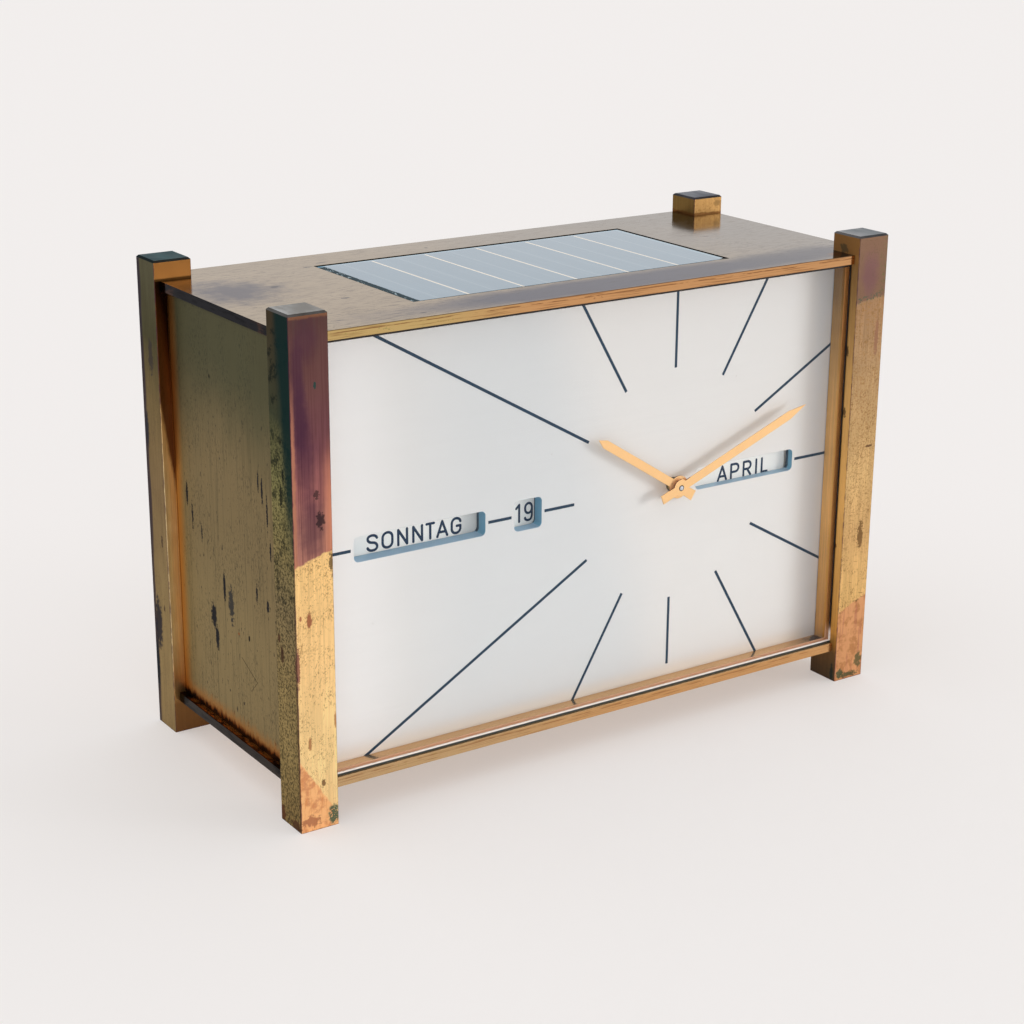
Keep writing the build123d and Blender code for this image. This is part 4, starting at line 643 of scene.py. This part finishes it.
def thin_line(paint, start, end, width):
    """1 along a straight scratch between two points (y, z) on a face that looks left or right."""
    run = (end[0] - start[0], end[1] - start[1])
    length = math.hypot(*run)
    along = (run[0] / length, run[1] / length)
    y = calc("SUBTRACT", paint.axes[1], start[0])
    z = calc("SUBTRACT", paint.axes[2], start[1])
    reach = calc("ADD", calc("MULTIPLY", y, along[0]), calc("MULTIPLY", z, along[1]))
    aside = calc("SUBTRACT", calc("MULTIPLY", y, along[1]), calc("MULTIPLY", z, along[0]))
    mask = step(calc("ABSOLUTE", aside), width, width * 0.4)
    return both(mask, step(reach, -0.1, 0.1), step(reach, length + 0.1, length - 0.1))


def plain(name, colour, metallic=0, rough=0.5, grain=None, mottle=(0.93, 1.06), size=6, specular=0.5):
    """A quiet material for a piece without marks of its own: mottled, with a fine grain."""
    paint = Paint(name)
    paint.colour = colour
    paint.vary_roughness(size * 0.7, 0.12, rough - 0.06)
    paint.shade(paint.noise(size, 4), *mottle)
    if grain:
        paint.grain(grain, 0.08, 0.2, 0.004, 0.06)
    else:
        paint.pores()
    return paint.finish(metallic=metallic, bump=0.3, specular=specular)


def turned(name, colour, centre):
    """Metal turned on a lathe: fine rings round an axis that runs front to back."""
    paint = Paint(name)
    paint.colour = colour
    offset = paint.vector("SUBTRACT", paint.place, (centre[0], 0, centre[1]))
    radius = paint.vector("LENGTH", paint.vector("MULTIPLY", offset, (1, 0, 1)))
    rings = gap(calc("FRACT", calc("DIVIDE", radius, RING_PITCH)), 0.5)
    paint.shade(rings, 0.94, 1.05)
    paint.raise_by(rings, 0.006)
    paint.shade(paint.noise(5, 4), 0.92, 1.06)
    paint.vary_roughness(3, 0.12, 0.28)
    return paint.finish(metallic=1, bump=0.3)


def glass(paint, tint, roughness=0, veil=None, veil_share=0, dull_part=None):
    """A pane: it lets light straight through and mirrors by Fresnel, behind a veil where one is given. The dull
    part of it mirrors little."""
    through = paint.fed("BsdfTransparent", tint)
    gloss = paint.add("BsdfGlossy")
    smears = paint.flecks(0.35, 0.75, 18, 5)
    feed(gloss.inputs["Roughness"], calc("MULTIPLY_ADD", smears, 0.03, roughness))
    mirror = paint.fed("Fresnel", GLASS_IOR)
    # light runs straight through, so the inside of a face would mirror all of it: only the outside mirrors
    inside = paint.add("NewGeometry").outputs["Backfacing"]
    shine = calc("MULTIPLY", mirror, calc("SUBTRACT", 1, inside))
    if dull_part is not None:
        shine = calc("MULTIPLY", shine, calc("MULTIPLY_ADD", dull_part, -0.85, 1))
    if veil is not None:
        through = paint.fed("MixShader", veil_share, through, paint.fed("BsdfDiffuse", veil))
    paint.output("Material", paint.fed("MixShader", shine, through, gloss.outputs[0]))
    return paint.material


WALL_BLUE = (160, 194, 216)
# painted shade for the upright window walls, and painted shadow in the gaps where the walls end
SHADED_UPRIGHT_BLUE = (108, 168, 196)
GAP_SHADOW_NAVY = (18, 52, 74)


def dial_material():
    """Silvered dial: warmer to the right, a cooler field left of the hands, blue walls in its windows, and painted
    light and shade.
    """
    paint = Paint("dial")
    lay = paint.lay
    x, y, z = paint.axes
    paint.colour = (232, 230, 227)
    field = both(step(paint.border((1, 0, 0.3), 6, 40), 46, 14), step(x, -88, -36))
    lay(field, (217, 220, 221), 0.85)
    # painted light: brighter towards the far left, a glow of reflected light
    lay(step(x, -60, -90), (246, 246, 246), 0.8)
    # painted shade: darker towards the top, under the top plate
    paint.shade(step(z, 30, 130), 1.01, 0.92)
    paint.roughness = 0.42
    paint.grain("x", 0.012, 0.25, 0.002, 0.04)
    paint.shade(paint.noise(40), 0.985, 1.015)
    lay(paint.flecks(0.76, 0.8, 1.1, 2), (150, 140, 124), 0.35)
    # painted shade: a dark line in the gap at the right edge
    lay(step(x, 93.3, 93.7), (70, 92, 112), 0.8)
    # painted light: a warm glow along the bottom, reflected from the brass floor
    lay(step(z, 19, 14.2), (240, 226, 206), 0.35)
    # painted shadow of the right wall: a grey band near the right edge
    lay(step(x, 84, 91.5), (202, 206, 210), 0.7)
    walls = step(calc("ABSOLUTE", paint.facing[1]), 0.6, 0.4)
    lay(walls, WALL_BLUE, 1, 0.35)
    # painted shade: the upright walls of the windows darker than the level ones
    upright = step(calc("ABSOLUTE", paint.facing[0]), 0.4, 0.7)
    lay(both(walls, upright), SHADED_UPRIGHT_BLUE)
    # painted shadow: dark where the upright walls of the month window end towards the card
    month_side = step(x, HAND_AXIS[0], HAND_AXIS[0] + 2)
    lay(both(walls, upright, month_side, step(y, -34.6, -34.2)), GAP_SHADOW_NAVY, 0.95)
    return paint.finish(metallic=0.1, bump=0.2, specular=0.3)


def frame_material():
    """Walls of the window frames: blue, with painted shade on the upright walls and a painted shadow where they end
    behind the card.
    """
    paint = Paint("window_frames")
    paint.colour = WALL_BLUE
    paint.shade(paint.noise(6, 4), 0.94, 1.05)
    paint.roughness = 0.4
    upright = step(calc("ABSOLUTE", paint.facing[0]), 0.4, 0.7)
    paint.lay(upright, SHADED_UPRIGHT_BLUE)
    paint.lay(both(upright, step(paint.axes[1], -32.9, -32.6)), GAP_SHADOW_NAVY, 0.95)
    paint.pores()
    return paint.finish(bump=0.2, specular=0.3)


def seal_material():
    """Seal round the glass: dark in front of the pane, brass-coloured low down, and above that pale where it lies
    behind the pane, a painted highlight of the glass edge.
    """
    paint = Paint("glass_seal")
    _, y, z = paint.axes
    sill = step(z, 20, 16)
    behind = step(y, -43, -42.6)
    paint.colour = paint.mix(sill, (196, 134, 74), paint.mix(behind, (242, 236, 230), (226, 176, 138)))
    wander = paint.border((0, 0, 1), 0.1, 9, (4, 1, 1))
    low = calc("MAXIMUM", step(z, 16, 20), step(wander, 13.8, 13.65))
    line = both(low, step(y, -43.2, -43.4))
    paint.lay(line, paint.mix(sill, (10, 16, 20), (14, 40, 46)), 0.97)
    chips = both(sill, step(y, -42.6, -43), paint.flecks(0.66, 0.7, 2.2, 4, (3, 1, 1)))
    paint.lay(chips, (40, 52, 52), 0.8)
    paint.shade(paint.noise(3, 4), 0.85, 1.1)
    paint.roughness = 0.5
    paint.pores()
    return paint.finish(bump=0.2, specular=0.2)


def card_material(name):
    paint = Paint(name)
    paint.colour = (250, 247, 241)
    paint.roughness = 0.55
    paint.shade(paint.noise(7, 4), 0.97, 1.02)
    paint.pores(0.25)
    return paint.finish(bump=0.25, specular=0.3)


def cell_pattern(paint):
    """Pale blue cells with cream lines between them and a fainter line down each."""
    x = paint.axes[0]
    low, high = node_box("solar_cells")
    along = calc("DIVIDE", calc("SUBTRACT", x, low[0]), (high[0] - low[0]) / 6)
    share = calc("FRACT", along)
    paint.colour = (100, 134, 156)
    paint.shade(paint.noise(16, 4), 0.93, 1.05)
    paint.lay(paint.flecks(0.5, 0.66, 0.5, 2, (1, 90, 1)), (118, 148, 168), 0.4)
    away = gap(share, 0.5)
    faint = gap(share, 0.47)
    paint.lay(step(faint, 0.03, 0.012), (128, 155, 172), 0.6)
    inside = both(step(along, 0.3, 0.6), step(along, 5.7, 5.4))
    paint.lay(both(step(away, 0.476, 0.486), inside), (240, 228, 208), 0.95)


def cell_material():
    paint = Paint("solar_cells")
    cell_pattern(paint)
    paint.roughness = 0.4
    paint.pores(0.4)
    return paint.finish(bump=0.2)


def solar_glass_material():
    """Cover of the light cells. Its veil carries their pattern, and its edges are dark teal, chipped at the left."""
    paint = Paint("solar_glass")
    lay = paint.lay
    cell_pattern(paint)
    x, y, _ = paint.axes
    (left, front, _), (right, back, _) = node_box("solar_glass")
    jag = paint.border((1, 0, 0), 0.35, 1.2)
    chipped, near_front = step(jag, left + 2.4, left + 2.1), step(y, front + 0.75, front + 0.5)
    corner = step(paint.border((0.6, -1, 0), 0.1, 2), 0.6 * right - front - 2.2, 0.6 * right - front - 1.8)
    lay(chipped, (14, 48, 58), 0.97)
    # painted highlights: glints on the chipped left edge
    glints = paint.flecks(0.6, 0.64, 0.9, 4, (0.8, 2.4, 1), 0.65)
    lay(both(step(jag, left + 2.7, left + 1.4), glints), (206, 226, 232), 0.9)
    # along the back and right edges a pale blue band, a painted reflection of the cells in the walls, and a dark teal
    # line at the very edge
    for edge, place in ((back, y), (right, x)):
        lay(step(place, edge - 1.7, edge - 1.4), (128, 168, 190), 0.9)
        lay(step(place, edge - 0.5, edge - 0.3), (36, 78, 92), 0.95)
    lay(near_front, (14, 50, 62), 0.97)
    lay(corner, BLACK, 0.95)
    lay(step(calc("ABSOLUTE", paint.facing[2]), 0.7, 0.4), (20, 56, 66), 0.95)
    dull_part = calc("MAXIMUM", calc("MAXIMUM", chipped, near_front), corner)
    return glass(paint, (214, 232, 240), 0.02, paint.colour, 0.93, dull_part)


def use(material, *names):
    for name in names:
        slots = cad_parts[name].data.materials
        slots.clear()
        slots.append(material)


# ---- the case

posts = {
    "post_front_left": (LIT_FRONT, SHADED_SIDE, WARM_RIGHT, SHADED_BACK, ((130, 129, 126), (176, 179, 180)),
                        stains_front_left),
    "post_front_right": (RIGHT_FRONT, REFLECTION_LIT_LEFT, SHADED_SIDE, SHADED_BACK, ((118, 126, 132), (168, 170, 174)),
                         stains_front_right, 0.2),
    "post_rear_left": (REAR_FRONT, SHADED_OLIVE_LEFT, WARM_RIGHT, SHADED_BACK, ((14, 60, 68), (30, 76, 82)),
                       stains_and_shade_rear_left),
    "post_rear_right": (STUB_FRONT, STUB_LEFT, SHADED_SIDE, SHADED_BACK, ((82, 88, 100), (126, 131, 140)),
                        stains_rear_right),
}
for post, surfaces in posts.items():
    use(post_material(post, *surfaces), post)

use(aged_plate("top_plate", (176, 160, 138), "x", stains_top, 1, 0.06, (0.82, 1.1), 0.08), "top_plate")
use(aged_plate("bottom_plate", (226, 186, 138), "x", stains_and_shade_bottom, 0.9, 0.12), "bottom_plate")
use(aged_plate("side_panel_left", (88, 86, 62), "z", stains_and_shade_panel, 1, 0.34, (0.9, 1.1)), "side_panel_left")


def right_panel_stains_and_reflection(paint):
    z = paint.axes[2]
    # painted reflection: the inner face lighter, as the brass mirrors the lit dial
    yield paint.side("left"), (226, 172, 122), 1
    dashes = paint.flecks(0.63, 0.67, 0.8, 4, (1, 1, 5), 0.64)
    yield both(dashes, paint.side("right")), NAVY, 0.8
    dark = calc("MULTIPLY_ADD", paint.noise(30, 4), 30, z)
    yield both(step(dark, 110, 160), paint.side("right")), (96, 80, 58), 0.7
    yield from spots(paint, PANEL_RIGHT, ((-14, 48, 1.6, 6, 1.1, NAVY), (16, 92, 1.2, 4, 1.1, NAVY)))


use(aged_plate("side_panel_right", (150, 120, 76), "z", right_panel_stains_and_reflection, 0.35, 0.14, (0.88, 1.1)),
    "side_panel_right")


def cover_stains(paint):
    yield paint.flecks(0.5, 0.75, 26, 5), (124, 96, 66), 0.7
    yield paint.flecks(0.66, 0.7, 0.7, 4, (3, 1, 1), 0.64), (70, 56, 44), 0.6
    yield from spots(paint, COVER_BACK, ((-60, 100, 12, 8, 1.4, (96, 74, 72)),
                                      (70, 40, 8, 6, 1.4, (92, 78, 60))), 0.65)


use(aged_plate("rear_cover", (176, 142, 92), "x", cover_stains, 0.85, 0.3, (0.85, 1.1)), "rear_cover")
use(glass(Paint("front_glass"), (254, 254, 254)), "front_glass")
use(seal_material(), "glass_seal")
use(solar_glass_material(), "solar_glass")
use(cell_material(), "solar_cells")
use(plain("solar_tray", (18, 44, 52), rough=0.5), "solar_tray")
use(dial_material(), "dial_plate")
use(frame_material(), "window_frames")
use(plain("hour_markers", (0, 48, 74), 0, 0.5, size=5, mottle=(0.85, 1.15), specular=0.15), "hour_markers")

# ---- hands and calendar


def hand_material():
    """Rose gilt hands, with painted shade round the rims of their hubs."""
    paint = Paint("hand_gilt")
    paint.colour = (252, 202, 138)
    paint.shade(paint.noise(4, 4), 0.95, 1.04)
    hub = paint.near((HAND_AXIS[0], -38, HAND_AXIS[1]), (4.6, 20, 4.6), 0, 0.1)
    paint.lay(both(hub, step(calc("ABSOLUTE", paint.facing[1]), 0.7, 0.3)), (92, 36, 34), 1)
    paint.vary_roughness(3, 0.12, 0.28)
    paint.pores()
    return paint.finish(metallic=0.55, bump=0.3)


use(hand_material(), "minute_hand", "hour_hand")
use(turned("centre_steel", (150, 150, 156), HAND_AXIS), "centre_tube")
# the cannon pinion in dark steel: painted shade of the recessed ring round the arbor
use(turned("pipe_steel", (72, 70, 74), HAND_AXIS), "cannon_pinion")
for card in ("day_disc", "date_ring", "month_disc"):
    use(card_material(card), card)

# ---- inside and back

brass = plain("movement_brass", (212, 176, 112), 1, 0.3, "x", size=8)
use(brass, "chassis_plate", "movement_front_plate", "movement_rear_plate", "accumulator_clip", "movement_pillars",
    "chassis_spacers", "cover_lugs", "date_ring_guides")
steel = plain("steel", (186, 186, 190), 1, 0.28, "y", size=5)
use(steel, "wheel_studs", "calendar_jumpers", "setting_arbor", "motor_pinion", "pallet_lever", "escape_wheel",
    "mainspring", "hairspring", "day_corrector", "date_corrector", "month_corrector", "rear_cover_screws")


def centre_wheel_material():
    """Brass wheel on a steel arbor: the arbor is what comes forward of the movement."""
    paint = Paint("centre_wheel")
    arbor = step(paint.axes[1], -20, -20.2)
    paint.colour = paint.mix(arbor, (216, 180, 116), (206, 212, 220))
    paint.shade(paint.noise(5, 4), 0.92, 1.06)
    paint.vary_roughness(3, 0.12, 0.28)
    paint.pores()
    return paint.finish(metallic=1, bump=0.3)


WHEELS = ("hour_wheel", "date_drive_wheel", "day_drive_wheel", "minute_wheel", "third_wheel", "fourth_wheel",
          "balance_wheel", "mainspring_barrel", "winding_wheel", "setting_knob", "corrector_bushes")
for wheel in WHEELS:
    low, high = node_box(wheel)
    centre = ((low[0] + high[0]) / 2, (low[2] + high[2]) / 2)
    if wheel in ("hour_wheel", "corrector_bushes"):
        centre = HAND_AXIS
    tone = (196, 152, 92) if wheel in ("setting_knob", "corrector_bushes") else (216, 180, 116)
    use(turned(wheel, tone, centre), wheel)
use(centre_wheel_material(), "centre_wheel")
use(plain("motor_can", (176, 178, 182), 1, 0.32, "y", size=6), "winding_motor")
use(plain("accumulator_wrap", (44, 92, 70), 0, 0.45, size=5), "accumulator")
use(plain("terminal_laminate", (124, 78, 38), 0, 0.5, "x", size=5), "terminal_board")
use(plain("lead_insulation", (150, 36, 30), 0, 0.5, size=4), "lead_wires")

# ---- lettering on the calendar cards

SHARP = 0
# Each letter: width, bearing at each side, then its strokes on a height of 1. A stroke is a row of points x,y. It
# starts with its corner radius after a ~ where its corners are round, and ends with a z where it is closed.
SIDE, STRAIGHT = 0.2, 0.235
ABC = {
    "A": (0.75, 0.15, "0,0 .5,1 1,0 / .15,.28 .85,.28"),
    "B": (0.64, SIDE, "0,0 0,1 / ~.23 0,1 .94,1 .94,.54 0,.54 / ~.27 0,.54 1,.54 1,0 0,0"),
    "C": (0.66, SIDE, "~.32 1,.74 .98,1 0,1 0,0 .98,0 1,.26"),
    "D": (0.68, STRAIGHT, "0,0 0,1 / ~.36 0,1 1,1 1,0 0,0"),
    "E": (0.54, SIDE, "1,1 0,1 0,0 1,0 / 0,.53 .88,.53"),
    "F": (0.52, SIDE, "1,1 0,1 0,0 / 0,.5 .88,.5"),
    "G": (0.66, SIDE, "~.32 1,.76 .98,1 0,1 0,0 1,0 1,.48 / 1,.48 .58,.48"),
    "H": (0.65, STRAIGHT, "0,0 0,1 / 1,0 1,1 / 0,.53 1,.53"),
    "I": (0, STRAIGHT, "0,0 0,1"),
    "J": (0.5, SIDE, "~.28 1,1 1,0 0,0 0,.2"),
    "K": (0.66, SIDE, "0,0 0,1 / .95,1 0,.38 / .34,.6 1,0"),
    "L": (0.48, SIDE, "0,1 0,0 1,0"),
    "M": (0.82, STRAIGHT, "0,0 0,1 .5,.32 1,1 1,0"),
    "N": (0.65, STRAIGHT, "0,0 0,1 1,0 1,1"),
    "O": (0.72, SIDE, "~.34 0,0 1,0 1,1 0,1 z"),
    "P": (0.66, SIDE, "0,0 0,1 / ~.28 0,1 1,1 1,.44 0,.44"),
    "R": (0.64, SIDE, "0,0 0,1 / ~.27 0,1 1,1 1,.46 0,.46 / .5,.46 1,0"),
    "S": (0.7, SIDE, "~.27 .98,.8 .9,1 .02,1 .02,.58 1,.46 1,0 .08,0 0,.2"),
    "T": (0.55, 0.11, "0,1 1,1 / .5,1 .5,0"),
    "U": (0.66, STRAIGHT, "~.3 0,1 0,0 1,0 1,1"),
    "V": (0.7, 0.13, "0,1 .5,0 1,1"),
    "W": (1, 0.14, "0,1 .26,0 .5,.8 .74,0 1,1"),
    "Z": (0.6, SIDE, "0,1 1,1 0,0 1,0"),
    "1": (0.2, SIDE, "0,.8 1,1 1,0"),
    "2": (0.46, SIDE, "~.27 0,.76 0,1 1,1 1,.56 0,0 / 0,0 1,0"),
    "3": (0.46, SIDE, "~.24 0,.8 0,1 .96,1 .96,.54 .4,.54 / ~.26 .4,.54 1,.54 1,0 0,0 0,.2"),
    "4": (0.52, SIDE, ".56,1 0,.26 1,.26 / .72,.52 .72,0"),
    "5": (0.46, SIDE, ".94,1 .08,1 0,.52 / ~.27 0,.52 .3,.62 1,.62 1,0 0,0 0,.18"),
    "6": (0.46, SIDE, "~.27 0,0 1,0 1,.58 0,.58 z / ~.27 0,.3 0,1 1,1 1,.84"),
    "7": (0.46, SIDE, "0,1 1,1 .3,0"),
    "8": (0.46, SIDE, "~.22 .05,.54 .95,.54 .95,1 .05,1 z / ~.26 0,0 1,0 1,.54 0,.54 z"),
    "9": (0.46, SIDE, "~.27 0,.42 1,.42 1,1 0,1 z / ~.27 1,.7 1,0 0,0 0,.16"),
    "0": (0.46, SIDE, "~.27 0,0 1,0 1,1 0,1 z"),
    "Ä": (0.75, 0.15, "0,0 .5,1 1,0 / .15,.28 .85,.28 / .26,1.2 .28,1.2 / .72,1.2 .74,1.2"),
}
CORNER_STEPS = 6
CAP_STEPS = 8
SHARPEST_MITRE = 0.6
STROKE_LIFT, LAYER_LIFT, LAYERS = 0.02, 0.002, 12


def rounded(points, radius, closed):
    """The points with each corner replaced by a curve, as Vectors."""
    points = [Vector(p) for p in points]
    if not radius:
        return points
    result = []
    count = len(points)
    for i, corner in enumerate(points):
        if not closed and i in (0, count - 1):
            result.append(corner)
            continue
        before, after = points[i - 1], points[(i + 1) % count]
        ends_before = not closed and i == 1
        ends_after = not closed and i == count - 2
        reach_in = min(radius, (before - corner).length * (1 if ends_before else 0.5))
        reach_out = min(radius, (after - corner).length * (1 if ends_after else 0.5))
        start = corner + (before - corner).normalized() * reach_in
        end = corner + (after - corner).normalized() * reach_out
        # a cubic whose handles lie a little over half way to the corner is close to a quarter circle
        grip_in, grip_out = start.lerp(corner, 0.56), end.lerp(corner, 0.56)
        for step in range(CORNER_STEPS + 1):
            t = step / CORNER_STEPS
            result.append(start * (1 - t) ** 3 + grip_in * 3 * t * (1 - t) ** 2
                          + grip_out * 3 * t * t * (1 - t) + end * t ** 3)
    return [p for i, p in enumerate(result) if i == 0 or (p - result[i - 1]).length > 1e-4]


def add_stroke(mesh, line, closed, half, place, lift):
    """A flat ribbon along the line, with round ends where it is open. place turns a flat point into the row frame."""
    sides = []
    count = len(line)
    for i, point in enumerate(line):
        before = line[i - 1] if closed or i else point
        after = line[(i + 1) % count] if closed or i < count - 1 else point
        ways = [run.normalized() for run in (point - before, after - point) if run.length]
        along = (ways[0] + ways[-1]).normalized()
        across = Vector((-along.y, along.x))
        turn = ways[0].dot(along) if len(ways) == 2 else 1
        reach = half / max(turn, SHARPEST_MITRE)
        sides.append([mesh.verts.new(place(point + across * side, lift)) for side in (reach, -reach)])
    pairs = list(zip(sides, sides[1:])) + ([(sides[-1], sides[0])] if closed else [])
    for (a, b), (c, d) in pairs:
        mesh.faces.new((a, b, d, c))
    if closed:
        return
    for end, neighbour, (first, last) in ((line[0], line[1], sides[0][::-1]), (line[-1], line[-2], sides[-1])):
        outward = (end - neighbour).normalized()
        across = Vector((-outward.y, outward.x))
        arc = []
        for step in range(1, CAP_STEPS):
            turn = math.pi * step / CAP_STEPS
            point = end + across * half * math.cos(turn) + outward * half * math.sin(turn)
            arc.append(mesh.verts.new(place(point, lift)))
        mesh.faces.new([first, *arc, last])


def word_strokes(word, height, track, longest):
    """The strokes of a word centred on the origin, in millimetres, and squeezed where it would be too long."""
    pen, parts = 0, []
    for i, letter in enumerate(word):
        width, bearing, strokes = ABC[letter]
        if i:
            pen += bearing
        for stroke in strokes.split(" / "):
            marks = stroke.split()
            radius = float(marks.pop(0)[1:]) if marks[0][0] == "~" else SHARP
            closed = marks[-1] == "z"
            points = [map(float, mark.split(",")) for mark in marks[:len(marks) - closed]]
            parts.append(([(pen + x * width, y) for x, y in points], radius, closed))
        pen += width + bearing + (track if i < len(word) - 1 else 0)
    pen -= ABC[word[-1]][1]
    squeeze = min(1, longest / (pen * height))
    for points, radius, closed in parts:
        line = rounded(points, radius, closed)
        yield [Vector(((p.x - pen / 2) * height * squeeze, (p.y - 0.5) * height)) for p in line], closed, radius


def lettering(name, words, card, axis, reach, rise, height, stroke, longest, ink, track=0):
    """One object with every word of a card. The first word shows in its window, at reach from the axis, and the
    rest follow round the axis in equal steps."""
    mesh = bmesh.new()
    card_face = node_box(card)[0][1]
    for index, word in enumerate(words):
        spin = Matrix.Rotation(math.radians(360 / len(words) * index), 2)

        def place(point, lift):
            flat = spin @ (point + Vector((reach, rise)))
            return Vector((axis[0] + flat.x, card_face - lift, axis[1] + flat.y)) * MM

        layer = 0
        for line, closed, radius in word_strokes(word, height, track, longest):
            pieces = [line] if radius or closed else [line[i:i + 2] for i in range(len(line) - 1)]
            for piece in pieces:
                layer += 1
                add_stroke(mesh, piece, closed, stroke / 2, place, STROKE_LIFT + LAYER_LIFT * (layer % LAYERS))
    bmesh.ops.recalc_face_normals(mesh, faces=mesh.faces)
    for face in mesh.faces:
        if face.normal.y > 0:
            face.normal_flip()
    data = bpy.data.meshes.new(name)
    mesh.to_mesh(data)
    mesh.free()
    data.materials.append(ink)
    piece = bpy.data.objects.new(name, data)
    bpy.context.scene.collection.objects.link(piece)
    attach(piece, card)


ink = plain("card_ink", (2, 44, 74), 0, 0.5, mottle=(0.85, 1.15), size=3, specular=0.15)
WEEK = ["SONNTAG", "MONTAG", "DIENSTAG", "MITTWOCH", "DONNERSTAG", "FREITAG", "SAMSTAG"]
YEAR = ["APRIL", "MAI", "JUNI", "JULI", "AUGUST", "SEPTEMBER", "OKTOBER", "NOVEMBER", "DEZEMBER", "JANUAR",
        "FEBRUAR", "MÄRZ"]
DAYS_IN_CARD = 31
SHOWN_DATE = 19
DATES = [str((SHOWN_DATE - 1 + step) % DAYS_IN_CARD + 1) for step in range(DAYS_IN_CARD)]
lettering("weekday_names", WEEK, "day_disc", DAY_AXIS, reach=-30.43, rise=-0.95, height=4.5, stroke=0.8, longest=40,
          ink=ink)
lettering("date_numbers", DATES, "date_ring", HAND_AXIS, reach=-52.25, rise=-0.94, height=5.3, stroke=0.76, longest=8,
          ink=ink)
lettering("month_names", YEAR, "month_disc", HAND_AXIS, reach=30.99, rise=-1.17, height=4.5, stroke=0.8, longest=34,
          ink=ink, track=0.08)

# ---- room, light and camera

BACKGROUND = (243, 238, 235)
FLOOR_COLOUR = (244, 241, 240)
FLOOR_GLOW = 0.42
FLOOR_HALF = 14
SKY = (0.99, 0.995, 1, 1)
AMBIENT = 0.56

floor_paint = Paint("floor")
bare_floor = floor_paint.fed("BsdfDiffuse", FLOOR_COLOUR)
glow = floor_paint.fed("Emission", BACKGROUND)
glow_share = calc("MULTIPLY", floor_paint.seen_rays(), FLOOR_GLOW)
floor_paint.output("Material", floor_paint.fed("MixShader", glow_share, bare_floor, glow))
floor_mesh = bpy.data.meshes.new("floor")
corners = [(x * FLOOR_HALF, y * FLOOR_HALF, 0) for x, y in ((-1, -1), (1, -1), (1, 1), (-1, 1))]
floor_mesh.from_pydata(corners, [], [(0, 1, 2, 3)])
floor_mesh.materials.append(floor_paint.material)
floor = bpy.data.objects.new("floor", floor_mesh)
bpy.context.scene.collection.objects.link(floor)

world = bpy.data.worlds.new("studio")
bpy.context.scene.world = world
world.use_nodes = True
room = Tree(world.node_tree)
soft_light = room.add("Background")
put(soft_light, Color=SKY, Strength=AMBIENT)
backdrop = room.fed("Background", BACKGROUND)
room.output("World", room.fed("MixShader", room.seen_rays(), soft_light.outputs[0], backdrop))


def lamp(name, towards, strength, spread_degrees):
    """A wide soft light from far away, shining towards a direction."""
    data = bpy.data.lights.new(name, "SUN")
    data.energy = strength
    data.angle = math.radians(spread_degrees)
    piece = bpy.data.objects.new(name, data)
    piece.rotation_euler = Vector(towards).to_track_quat("-Z", "Y").to_euler()
    bpy.context.scene.collection.objects.link(piece)
    return piece


key = lamp("key", (-0.755, 0.656, -0.03), strength=1.85, spread_degrees=22)
# A flag keeps the low key light off the polished top, where its mirror image would glare from behind.
flag = bpy.data.collections.new("key_flag")
for shaded in ("top_plate", "solar_glass"):
    flag.objects.link(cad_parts[shaded])
for entry in flag.collection_objects:
    entry.light_linking.link_state = "EXCLUDE"
key.light_linking.receiver_collection = flag
lamp("top", (-0.1, -0.35, -1), strength=1.2, spread_degrees=130)
lamp("fill", (0.35, 0.9, -0.1), strength=0.5, spread_degrees=60)

# The camera, solved from the straight edges of the case in the photograph.
CAMERA_PLACE = (-352.39, -516.89, 271.52)
CAMERA_RIGHT = (0.83009, -0.55760, 0.00595)
CAMERA_DOWN = (-0.17152, -0.26548, -0.94874)
CAMERA_AHEAD = (0.53059, 0.78652, -0.31601)
LENS, SENSOR = 73.3, 36
NEAREST, FARTHEST = 0.01, 60
camera_data = bpy.data.cameras.new("camera")
camera_data.lens, camera_data.sensor_width = LENS, SENSOR
camera_data.clip_start, camera_data.clip_end = NEAREST, FARTHEST
camera = bpy.data.objects.new("camera", camera_data)
columns = [Vector(CAMERA_RIGHT), -Vector(CAMERA_DOWN), -Vector(CAMERA_AHEAD)]
turn = Matrix(columns).transposed().to_4x4()
camera.matrix_world = Matrix.Translation(Vector(CAMERA_PLACE) * MM) @ turn
bpy.context.scene.collection.objects.link(camera)
bpy.context.scene.camera = camera
bpy.context.scene.view_settings.view_transform = "Standard"
